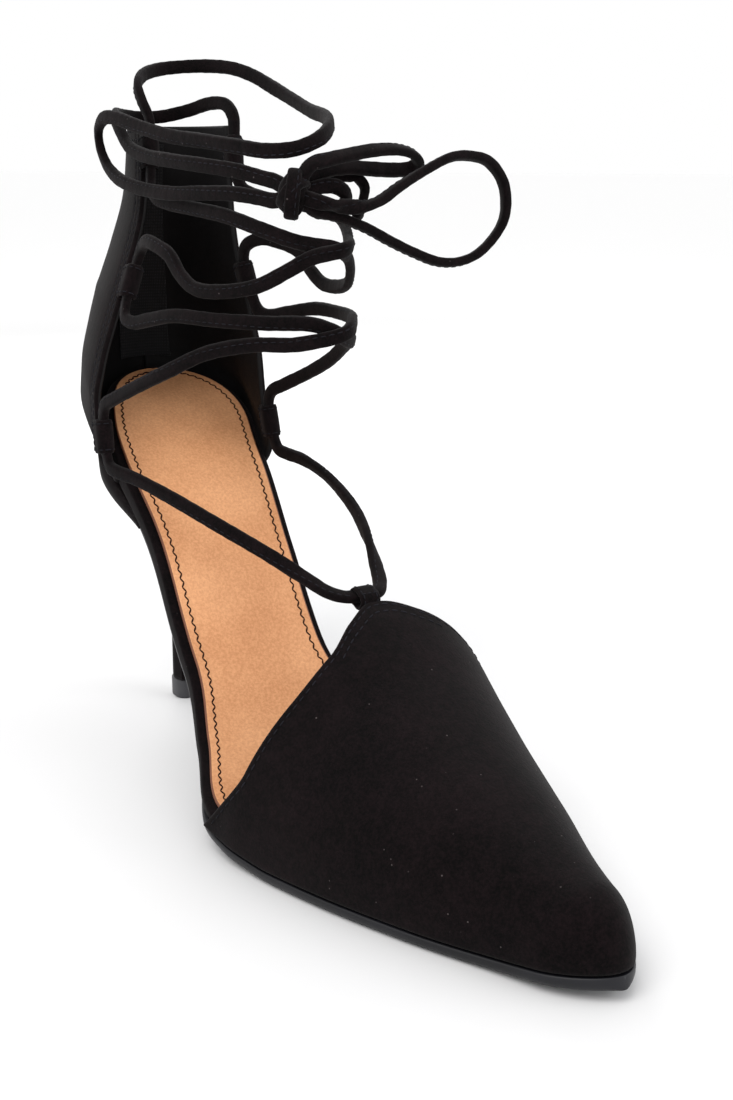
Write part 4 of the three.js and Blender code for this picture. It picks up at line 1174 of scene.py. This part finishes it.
# %% Lace on the instep
# x, y of the outer half, y of the inner half, z
CROSSING_ROUTE = np.array([
    [93.4, 7.0, 7.0, 55.7], [93.0, 2.6, 11.4, 55.7], [89.8, -0.6, 14.2, 56.5],
    [84.0, -3.6, 16.8, 58.9], [75.0, -9.2, 19.8, 63.6], [62.0, -16.6, 23.0, 69.2],
    [46.0, -24.2, 23.6, 75.0], [36.0, -28.8, 21.6, 78.0], [30.0, -31.0, 19.8, 78.8],
    [26.4, -31.7, 19.0, 79.6], [24.6, -31.8, 18.7, 82.2], [23.6, -31.8, 18.2, 87.5],
    [22.9, -31.7, 17.8, 92.6], [24.6, -31.7, 18.0, 96.0], [29.6, -30.9, 19.2, 98.4],
    [41.0, -28.2, 21.4, 103.3], [51.0, -24.7, 22.0, 107.8], [62.0, -19.0, 20.4, 113.2],
    [72.0, -11.6, 15.8, 115.8], [80.5, -3.4, 11.0, 116.4], [86.0, 5.0, 5.0, 119.0],
    [81.5, -0.2, 10.4, 121.0], [72.5, -8.0, 16.2, 120.9], [59.5, -15.2, 20.6, 120.8],
    [45.0, -19.8, 20.8, 120.8], [33.0, -21.9, 18.9, 118.8], [25.0, -23.1, 17.2, 117.4],
    [20.4, -23.4, 16.3, 118.4], [18.3, -22.2, 15.6, 122.0], [17.2, -19.9, 14.8, 127.4],
    [16.3, -17.8, 14.0, 132.4], [17.8, -17.0, 14.0, 136.0], [23.0, -17.6, 15.8, 138.2],
    [30.0, -18.1, 18.0, 137.6], [38.0, -17.7, 19.8, 135.4], [43.4, -17.2, 20.4, 130.9],
    [49.5, -16.2, 20.5, 127.9], [58.5, -13.8, 19.5, 127.6], [70.0, -8.7, 16.4, 129.6],
    [77.0, -3.9, 13.0, 133.6], [81.5, 0.2, 9.8, 136.8], [86.0, 5.0, 5.0, 138.6],
    [78.0, -1.6, 11.6, 140.0], [69.5, -6.6, 16.0, 142.6], [58.0, -10.8, 19.8, 145.6],
    [43.0, -13.6, 21.5, 147.2], [30.0, -14.3, 20.4, 148.2], [20.6, -13.7, 17.4, 149.4],
    [14.8, -12.4, 14.8, 151.6], [12.5, -11.4, 14.1, 155.6], [11.2, -10.7, 14.5, 161.2]])
PEAK_FACING = np.array([0.37, 0.0, 0.93])
ANKLE_CENTRE = np.array([30.0, 4.0])
ANKLE_HALVES = np.array([70.0, 25.0])
VAMP_REACH = 66
VAMP_FADE = 8
LOOP_HOLD = 6
LOOP_FADE = 14
LONG_WAVE = 17
SHORT_WAVE = 8.3
SHORT_SHARE = 0.6


def away_from_ankle(path):
    """The direction out of an upright ellipse round the leg, tipped forward over the vamp."""
    flat = (path[:, :2] - ANKLE_CENTRE) / ANKLE_HALVES ** 2
    outward = unit(np.concatenate([flat, 0 * flat[:, :1]], 1))
    low = np.clip((VAMP_REACH - path[:, 2:]) / VAMP_FADE, 0, 1)
    return soften(unit(outward * (1 - low) + PEAK_FACING * low), 5)


LOOP_CENTRES = np.array([
    [23.6, -31.8, 87.5], [17.2, -19.9, 127.4], [11.2, -10.7, 161.2], [23.5, 18.2, 87.4],
    [17.2, 14.8, 127.4], [11.2, 14.5, 161.2], [93.5, 7.0, 55.7]])


def wander(path, facing, amount, phase):
    """Turns the flat side to and fro along the path, but not where a loop holds the strap."""
    gap = np.linalg.norm(path[:, None] - LOOP_CENTRES[None], axis=2).min(1)
    free = np.clip((gap - LOOP_HOLD) / LOOP_FADE, 0, 1)
    run = run_of(path)
    waves = np.sin(run / LONG_WAVE + phase) + SHORT_SHARE * np.sin(run / SHORT_WAVE + 2 * phase)
    twist = free * amount * waves
    _, outward, across = frame_along(path, facing)
    return turned(outward, across, twist[:, None])[0]


def crossing_half(first_column):
    """One half of the lace: it changes sides at each row where both halves meet."""
    column, points = 3 - first_column, []
    for row in CROSSING_ROUTE:
        points.append([row[0], row[column], row[3]])
        if row[1] == row[2]:
            column = 3 - column
    return np.array(points)


PASS_HEIGHT = 1.25
PASS_LENGTH = 7.0
LACE_SEAM_SHIFT = 0.85
outer_half, inner_half = crossing_half(1), crossing_half(2)
lower_path = smooth_path(np.vstack([outer_half[:0:-1], inner_half]))
lower_facing = away_from_ankle(lower_path)
lower_run = run_of(lower_path)
first_half = lower_run < lower_run[-1] / 2
pass_over = np.zeros(len(lower_path))
crossings = CROSSING_ROUTE[1:][CROSSING_ROUTE[1:, 1] == CROSSING_ROUTE[1:, 2]]
for (x, y, _, height), first_over in zip(crossings, (1, -1)):
    near = np.linalg.norm(lower_path - [x, y, height], axis=1)
    over = np.where(first_half, first_over, -first_over)
    pass_over += over * PASS_HEIGHT * np.exp(-(near / PASS_LENGTH) ** 2)
lower_path = lower_path + lower_facing * pass_over[:, None]
lower_facing = wander(lower_path, lower_facing, 0.28, 0.4)
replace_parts(strap("lace_lower", lower_path, lower_facing, lace_suede, "lace_suede"), "lace_crossings")
lace_seams = []
for sign, keep in ((1, first_half), (-1, ~first_half)):
    seam = strap_seam(lower_path, lower_facing, LACE_SEAM_SHIFT * sign)
    lace_seams.append([part[keep] for part in seam])
print("lace over the instep:", round(lower_run[-1]), "mm")

# %% [markdown]
# Above the cuff the lace is free. Each stretch is a strap carried along its own path into the knot.

# %% Free parts of the lace
WRAP_OUTER_ROUTE = [
    [11.6, -10.9, 159.6], [10.6, -10.4, 163.8], [9.9, -10.0, 166.7],
    [9.1, -9.9, 169.8], [7.4, -11.0, 174.0], [3.6, -10.6, 178.0],
    [-2.5, -6.5, 181.4], [-7.0, 0.0, 183.4], [-7.6, 7.0, 184.4], [-2.8, 13.0, 184.6],
    [4.6, 17.0, 183.8], [12.6, 19.4, 181.6], [22.2, 20.5, 178.2], [33.6, 20.5, 174.6],
    [47.0, 18.8, 171.2], [61.0, 15.2, 169.2], [71.6, 10.2, 166.6], [77.0, 4.2, 163.6],
    [77.2, -2.0, 161.4], [71.8, -6.8, 160.9], [63.8, -10.3, 161.9], [53.6, -13.2, 163.1],
    [38.0, -16.4, 164.6], [22.0, -18.4, 167.2], [10.0, -19.8, 169.6], [2.2, -20.2, 169.6],
    [-3.0, -19.8, 166.6], [-4.2, -19.0, 162.2], [-1.6, -18.4, 157.8], [4.8, -18.3, 154.6],
    [14.0, -18.3, 152.6], [24.0, -17.7, 151.4], [38.0, -16.3, 150.7], [51.0, -13.9, 151.0],
    [62.0, -10.8, 151.0], [69.6, -7.8, 150.2], [74.2, -5.8, 149.6]]
WRAP_INNER_ROUTE = [
    [11.6, 14.4, 159.6], [10.6, 14.7, 163.8], [9.9, 14.9, 166.6],
    [8.8, 15.3, 170.6], [4.4, 15.2, 174.0], [-3.0, 13.8, 174.6],
    [-11.0, 10.4, 172.8], [-17.0, 4.6, 171.2], [-18.4, -2.0, 170.9], [-15.0, -8.0, 171.2],
    [-8.6, -12.4, 171.2], [-1.6, -15.2, 169.4], [5.0, -16.4, 166.0], [11.4, -16.9, 162.4],
    [21.6, -17.0, 160.1], [36.0, -16.2, 158.8], [51.0, -13.8, 157.6], [63.0, -10.3, 156.3],
    [70.0, -7.4, 154.8], [74.4, -5.6, 153.8]]
BOW_SMALL_ROUTE = [
    [81.6, -0.6, 157.6], [82.2, 4.0, 159.0], [82.2, 10.0, 160.2], [82.0, 17.3, 161.3],
    [81.5, 23.7, 161.4], [80.4, 28.6, 160.3], [78.4, 31.2, 158.4], [76.4, 30.6, 157.1],
    [75.7, 26.0, 156.7], [75.5, 20.0, 156.9], [75.5, 13.4, 157.2], [76.0, 6.5, 156.5],
    [77.0, 1.4, 154.8]]
BOW_LARGE_ROUTE = [
    [83.9, 0.6, 149.4], [84.5, 6.0, 148.5], [85.0, 11.7, 148.4], [85.0, 16.2, 149.6],
    [85.0, 21.8, 152.9], [85.0, 29.0, 156.6], [85.0, 36.7, 159.8], [85.0, 42.0, 160.1],
    [85.0, 47.5, 158.9], [85.0, 51.9, 154.6], [85.0, 53.3, 150.2], [85.0, 52.9, 145.0],
    [84.5, 50.2, 140.4], [84.0, 45.3, 136.3], [83.5, 40.0, 134.7], [83.0, 34.5, 134.9],
    [82.5, 27.8, 137.2], [82.0, 21.4, 140.0], [81.7, 13.8, 143.6], [81.3, 6.4, 146.0],
    [81.0, 1.4, 147.0]]
END_NEAR_ROUTE = [
    [79.4, 1.0, 152.2], [79.2, 4.4, 153.0], [79.3, 7.8, 152.8], [79.4, 10.2, 151.2],
    [79.3, 10.3, 149.4], [79.2, 9.2, 148.4]]
END_FAR_ROUTE = [
    [75.9, -0.2, 151.6], [73.4, 5.0, 153.8], [72.4, 11.4, 155.4], [72.5, 16.8, 155.2],
    [73.6, 18.9, 152.8], [74.4, 18.0, 149.4], [75.0, 16.6, 146.6], [75.0, 15.1, 145.0]]
KNOT_CENTRE = np.array([79.2, -3.8, 151.2])
BOW_LARGE_CENTRE = np.array([83.5, 38.0, 148.0])
BOW_SMALL_CENTRE = np.array([79.0, 15.0, 158.9])


def off_centre(centre):
    """Facing out of a loop's middle, so that the strap shows its narrow side."""
    def facing(path):
        return soften(unit((path - centre) * [0.5, 1.0, 1.0]), 5)
    return facing


def into_knot(route, start=True, end=True, share=0.75):
    """Lengthens a route's ends into the knot, so the strap comes out of it."""
    route = np.array(route, float)
    parts = [route]
    if start:
        parts.insert(0, (route[:1] + (KNOT_CENTRE - route[:1]) * share))
    if end:
        parts.append(route[-1:] + (KNOT_CENTRE - route[-1:]) * share)
    return np.vstack(parts)


free_cords = {}
# piece, its route into the knot, where its flat side looks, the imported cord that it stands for
FREE_PARTS = (
    ("lace_wrap_high", into_knot(WRAP_OUTER_ROUTE, start=False), away_from_ankle, "lace_wrap_outer"),
    ("lace_wrap_low", into_knot(WRAP_INNER_ROUTE, start=False), away_from_ankle, "lace_wrap_inner"),
    ("bow_small", into_knot(BOW_SMALL_ROUTE), off_centre(BOW_SMALL_CENTRE), "bow_loop_small"),
    ("bow_large", into_knot(BOW_LARGE_ROUTE), off_centre(BOW_LARGE_CENTRE), "bow_loop_large"),
    ("bow_end_far", into_knot(END_FAR_ROUTE, end=False), away_from_ankle, "lace_end_far"),
    ("bow_end_near", into_knot(END_NEAR_ROUTE, end=False), away_from_ankle, "lace_end_near"))
for name, route, facing_of, node in FREE_PARTS:
    path = smooth_path(route, 0.7)
    facing = wander(path, facing_of(path), 0.24, len(name))
    piece = strap(name, path, facing, lace_suede, "lace_suede")
    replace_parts(piece, node)
    free_cords[name] = (piece, path)
    lace_seams.append(strap_seam(path, facing, -LACE_SEAM_SHIFT))

# %% [markdown]
# The knot is a small pillow of suede under two bands: one wraps the bow's middle, the
# other lies behind it and slants, as the first half of the knot does.

# %% Knot
KNOT_HALVES = np.array([3.3, 3.3, 4.9])
KNOT_ROWS = 25
KNOT_STEPS = 36
BAND_STEPS = 80
BAND_WIDTH = 3.5
BAND_THICK = 1.9
knot_up = np.linspace(-np.pi / 2, np.pi / 2, KNOT_ROWS)[:, None]
knot_round = circle(KNOT_STEPS)[None, :]
ball = np.stack([np.cos(knot_up) * np.cos(knot_round), np.cos(knot_up) * np.sin(knot_round),
                 np.sin(knot_up) + 0 * knot_round], -1)
lumps = 1 + 0.06 * np.sin(3 * knot_round + 2 * knot_up) + 0.05 * np.sin(4 * knot_up + 1.3)
pillow = KNOT_CENTRE + ball * KNOT_HALVES * lumps[..., None]
knot = ring_piece("bow_knot_pillow", pillow, lace_suede, "lace_suede")
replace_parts(knot, "bow_knot")


def knot_band(name, side, rise, halves):
    """A closed strap round the pillow in the plane of two directions."""
    turn = circle(BAND_STEPS)[:, None]
    side, rise = unit(np.array(side, float)), unit(np.array(rise, float))
    path = KNOT_CENTRE + (side * np.cos(turn) * halves[0] + rise * np.sin(turn) * halves[1])
    facing = side * np.cos(turn) / halves[0] + rise * np.sin(turn) / halves[1]
    lace_seams.append(strap_seam(path, facing, LACE_SEAM_SHIFT, closed=True, thick=BAND_THICK))
    return strap(name, path, unit(facing), lace_suede, "lace_suede",
                 width=BAND_WIDTH, thick=BAND_THICK, closed=True)


bands = [knot_band("knot_band_front", (0.85, -0.5, 0.0), (0.05, 0.1, 1.0), (3.6, 5.0)),
         knot_band("knot_band_slanted", (0.6, 0.2, 0.75), (-0.5, 0.85, 0.15), (3.9, 3.4))]
sew("lace_stitches", lace_seams, thread_black, "lace_suede", pitch=2.1, length=1.5, thick=0.34, sink=0.08)


def declare_cord(name):
    """Looks up the cord's path and works out its first point and all its points in metres, then drops them.
    """
    piece, path = free_cords[name]
    (path[0] * MM).tolist()
    (path * MM).tolist()


declare_cord("lace_wrap_high")
declare_cord("lace_wrap_low")
declare_cord("bow_small")
declare_cord("bow_large")
declare_cord("bow_end_far")

# %% [markdown]
# Each lace loop is a short tab of suede folded round the lace and stitched to the edge.
# It is a wide, thin strap carried round a rounded rectangle.

# %% Lace loops
LOOP_DEPTH = 6.5
LOOP_HEIGHT = 4.7
LOOP_WALL = 1.0
LOOP_CORNER = 1.6
LOOP_OVERLAP = 0.6
LOOP_SEAM = 1.9
LOOP_LEVELS = {"low": 0.20, "mid": 0.59, "top": 0.92}
CUFF_LOOP_LENGTH = 9.0
VAMP_LOOP_LENGTH = 5.6
END_STITCH_INSET = 1.0
SIDE_STITCH_INSET = 1.2


def cuff_edge(side, up):
    """The middle of the wall's front edge."""
    at, up = np.array(float(side)), np.array(float(up))
    return (cuff_inside(at, up, np.array(0.0)) + cuff_inside(at, up, np.array(WALL))) / 2


# piece, start at the edge, forward, direction of the tunnel, its length
loop_places = []
for side_name, side in (("outer", -1), ("inner", 1)):
    for level, up in LOOP_LEVELS.items():
        tunnel = unit(cuff_edge(side, up + 0.02) - cuff_edge(side, up - 0.02))
        front, behind = (cuff_point(np.array(float(at)), np.array(up)) for at in (side, side * 0.97))
        forward = unit((front - behind) * [1, 1, 0])
        name = f"cuff_loop_{side_name}_{level}"
        loop_places.append((name, cuff_edge(side, up), forward, tunnel, CUFF_LOOP_LENGTH))
ridge = np.array(0.5)
half_way_in = np.array(WALL / 2)
peak_x = x_at(topline(ridge))
peak_at, beyond = (vamp_point(np.array(x), ridge, half_way_in) for x in (peak_x, peak_x + 2.0))
straight_across = np.array([0.0, 1.0, 0.0])
loop_places.append(("vamp_loop", peak_at, unit(peak_at - beyond), straight_across, VAMP_LOOP_LENGTH))


def rounded_ring(width, height, radius, steps=8):
    """Points round a rounded rectangle, with the outward direction of each."""
    points, facing = [], []
    for quarter, (sx, sy) in enumerate(((1, 1), (-1, 1), (-1, -1), (1, -1))):
        turn = np.linspace(0, np.pi / 2, steps) + quarter * np.pi / 2
        corner = np.array([sx * (width / 2 - radius), sy * (height / 2 - radius)])
        out = np.stack([np.cos(turn), np.sin(turn)], 1)
        points.append(corner + out * radius)
        facing.append(out)
    ring, out = np.concatenate(points), np.concatenate(facing)
    ring, out = resample(np.vstack([ring, ring[:1]]), 0.55, np.vstack([out, out[:1]]))
    return ring[:-1], unit(out[:-1])


loop_ring, loop_out = rounded_ring(LOOP_DEPTH - LOOP_WALL, LOOP_HEIGHT - LOOP_WALL, LOOP_CORNER)
loop_seams = []
for name, start, forward, tunnel, length in loop_places:
    thick = unit(np.cross(tunnel, forward))
    ahead = unit(np.cross(thick, tunnel))
    centre = start + ahead * (LOOP_DEPTH / 2 - LOOP_OVERLAP)
    path = centre + loop_ring[:, :1] * ahead + loop_ring[:, 1:] * thick
    facing = loop_out[:, :1] * ahead + loop_out[:, 1:] * thick
    piece = strap(f"{name}_fold", path, facing, suede, "loop_suede",
                  width=length, thick=LOOP_WALL, closed=True)
    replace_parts(piece, name)
    for edge in (-1, 1):
        shift = edge * (length / 2 - END_STITCH_INSET)
        loop_seams.append(strap_seam(path, facing, shift, closed=True, thick=LOOP_WALL))
    for sign in (-1, 1):
        reach = length / 2 - SIDE_STITCH_INSET
        side_points = np.linspace(-reach, reach, 12)[:, None]
        base = centre - ahead * (LOOP_DEPTH / 2 - LOOP_SEAM) + thick * sign * LOOP_HEIGHT / 2
        line = base + tunnel * side_points
        loop_seams.append((line, thick * sign + 0 * line))
sew("loop_stitches", loop_seams, thread_black, "loop_suede", pitch=1.7, length=1.25, thick=0.34)

# %% [markdown]
# The zip runs up the centre back. Its tape is a woven band that lies inside the wall, so it
# is made as another wall, thinner and further in. Two crossed sines give it its weave.

# %% Zip tape
CHAIN_FOOT = ZIP_FOOT + 2 * SEAM / CUFF_RISE
SLIDER_LOW = 3.2
NECK_HEIGHT = 2.4
CHAIN_TOP = 1 - (SLIDER_LOW + NECK_HEIGHT / 2 + 2 * SEAM) / CUFF_RISE
TAPE_MARGIN = 3.0
TAPE_EDGE = 0.25
TAPE_DEPTH = WALL + SEAM + TAPE_THICKNESS / 2
WEFT_SCALE = 9000.0
WARP_SCALE = 7000.0

tape_finish = Finish("zip_tape_weave", Specular_IOR_Level=0.2, Sheen_Weight=0.1)
weave_across = (tape_finish.axis("Y") * WEFT_SCALE).sine() * 0.5 + 0.5
weave_up = (tape_finish.axis("Z") * WARP_SCALE).sine() * 0.5 + 0.5
weave = weave_across * weave_up
tape_noise = tape_finish.noise(900.0, 2.0)
tape_weave = tape_finish.wear(
    Base_Color=tape_finish.mix(weave * 0.7 + tape_noise * 0.3, colour(12, 12, 13), colour(40, 39, 41)),
    Roughness=0.7 + tape_noise * 0.2,
    Normal=tape_finish.bump(weave + tape_noise * 0.3, 0.5, 0.00015))

tape_up = stations(70, length=70.0, zone=TAPE_EDGE, steps=3)[:, None]
tape_low = ZIP_FOOT - TAPE_MARGIN / CUFF_RISE
tape_around = (stations(40, length=18.0, zone=TAPE_EDGE, steps=3) * 2 - 1)[None, :] * TAPE_SPREAD


def tape_surface(depth):
    """The wall's inner side moved inwards by depth, only beside the slot."""
    around = tape_around + 0 * tape_up
    return cuff_inside(around, tape_low + (CHAIN_TOP - tape_low) * tape_up + 0 * around, depth)


tape_middle = tape_surface(TAPE_DEPTH + 0 * tape_up * tape_around)
tape_edges = rounded(np.minimum.reduce([*distances(tape_middle, 0), *distances(tape_middle, 1)]) / TAPE_EDGE)
tape, _ = wall_piece("zip_tape_woven", tape_surface, tape_edges, 0.0, [tape_weave, tape_weave], "tape",
                     middle=TAPE_DEPTH, half_depth=TAPE_THICKNESS / 2)
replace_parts(tape, "zip_tape")

# %% [markdown]
# The chain is one small tooth, a ball pressed towards a box, set again and again up the
# slot, in turn a little to the left and a little to the right.

# %% Zip chain
TOOTH_PITCH = 1.15
TOOTH_HALVES = (0.75, 1.3, 0.52)
TOOTH_POWER = 0.45
TOOTH_ROWS = 9
TOOTH_STEPS = 12
TOOTH_DEPTH = 0.95
TOOTH_SHIFT = 0.65


def back_frame(up):
    """Centre back of the wall at up: its point, and unit vectors out, across and up."""
    up = np.asarray(up, float)
    zero = np.zeros_like(up)
    at = cuff_point(zero, up)
    rise = unit(cuff_point(zero, up + 0.01) - cuff_point(zero, up - 0.01))
    out = unit(np.cross(rise, [0.0, 1.0, 0.0]))
    return at, out, np.cross(out, rise), rise


def tooth_shape():
    """Points of one tooth round the origin: out, across and up."""
    u = np.linspace(-np.pi / 2, np.pi / 2, TOOTH_ROWS)[:, None]
    v = circle(TOOTH_STEPS)[None, :]
    ring = boxy(np.cos(u), TOOTH_POWER)
    shape = np.stack([ring * boxy(np.cos(v), TOOTH_POWER), ring * boxy(np.sin(v), TOOTH_POWER),
                      boxy(np.sin(u), TOOTH_POWER) + 0 * v], -1)
    return shape.reshape(-1, 3) * TOOTH_HALVES


tooth = tooth_shape()
tooth_count = int((CHAIN_TOP - CHAIN_FOOT) * CUFF_RISE / TOOTH_PITCH) - 1
tooth_up = CHAIN_FOOT + (np.arange(tooth_count) + 0.5) / tooth_count * (CHAIN_TOP - CHAIN_FOOT)
tooth_side = np.where(np.arange(tooth_count) % 2, TOOTH_SHIFT, -TOOTH_SHIFT)
at, out, across, rise = (v[:, None] for v in back_frame(tooth_up))
placed = (at - out * (TOOTH_DEPTH - tooth[None, :, :1])
          + across * (tooth[None, :, 1:2] + tooth_side[:, None, None])
          + rise * tooth[None, :, 2:])
tooth_quads = grid_faces(TOOTH_ROWS, TOOTH_STEPS, around=True)
teeth = add_piece("zip_chain", placed.reshape(-1, 3), repeated(tooth_quads, tooth_count, len(tooth)),
                  zip_metal, "zip_metal", merge=1e-8)
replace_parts(teeth, "zip_teeth")

# %% [markdown]
# The slider and the pull tab are cast metal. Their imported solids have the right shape, so a
# copy of each is merged, and its sharp edges get a small bevel. The tab rides on its own
# body, because it swings on the slider's pin.

# %% Slider and pull tab
FLAT_ANGLE = 2
BEVEL_ANGLE = 35


def bevelled_copy(node, name, width, body):
    """A copy of a packed metal part, its doubled points merged and its edges softened."""
    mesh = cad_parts[node].data.copy()
    mesh.name = name
    copy = new_object(name, mesh)
    work = bmesh.new()
    work.from_mesh(mesh)
    bmesh.ops.remove_doubles(work, verts=work.verts, dist=1e-6)
    bmesh.ops.dissolve_limit(work, angle_limit=math.radians(FLAT_ANGLE), verts=work.verts, edges=work.edges)
    work.to_mesh(mesh)
    work.free()
    mesh.materials.clear()
    mesh.materials.append(zip_metal)
    bevel = copy.modifiers.new("soft_edges", "BEVEL")
    bevel.width = width * MM
    bevel.segments = 3
    bevel.limit_method = "ANGLE"
    bevel.angle_limit = math.radians(BEVEL_ANGLE)
    bevel.harden_normals = False
    mesh.shade_smooth()
    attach(copy, body)
    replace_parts(copy, node)
    print(name, len(mesh.polygons), "faces before its bevel")


bevelled_copy("zip_slider", "slider_cast", 0.22, SHOE)
bevelled_copy("zip_pull_tab", "pull_tab_leaf", 0.2, TAB)
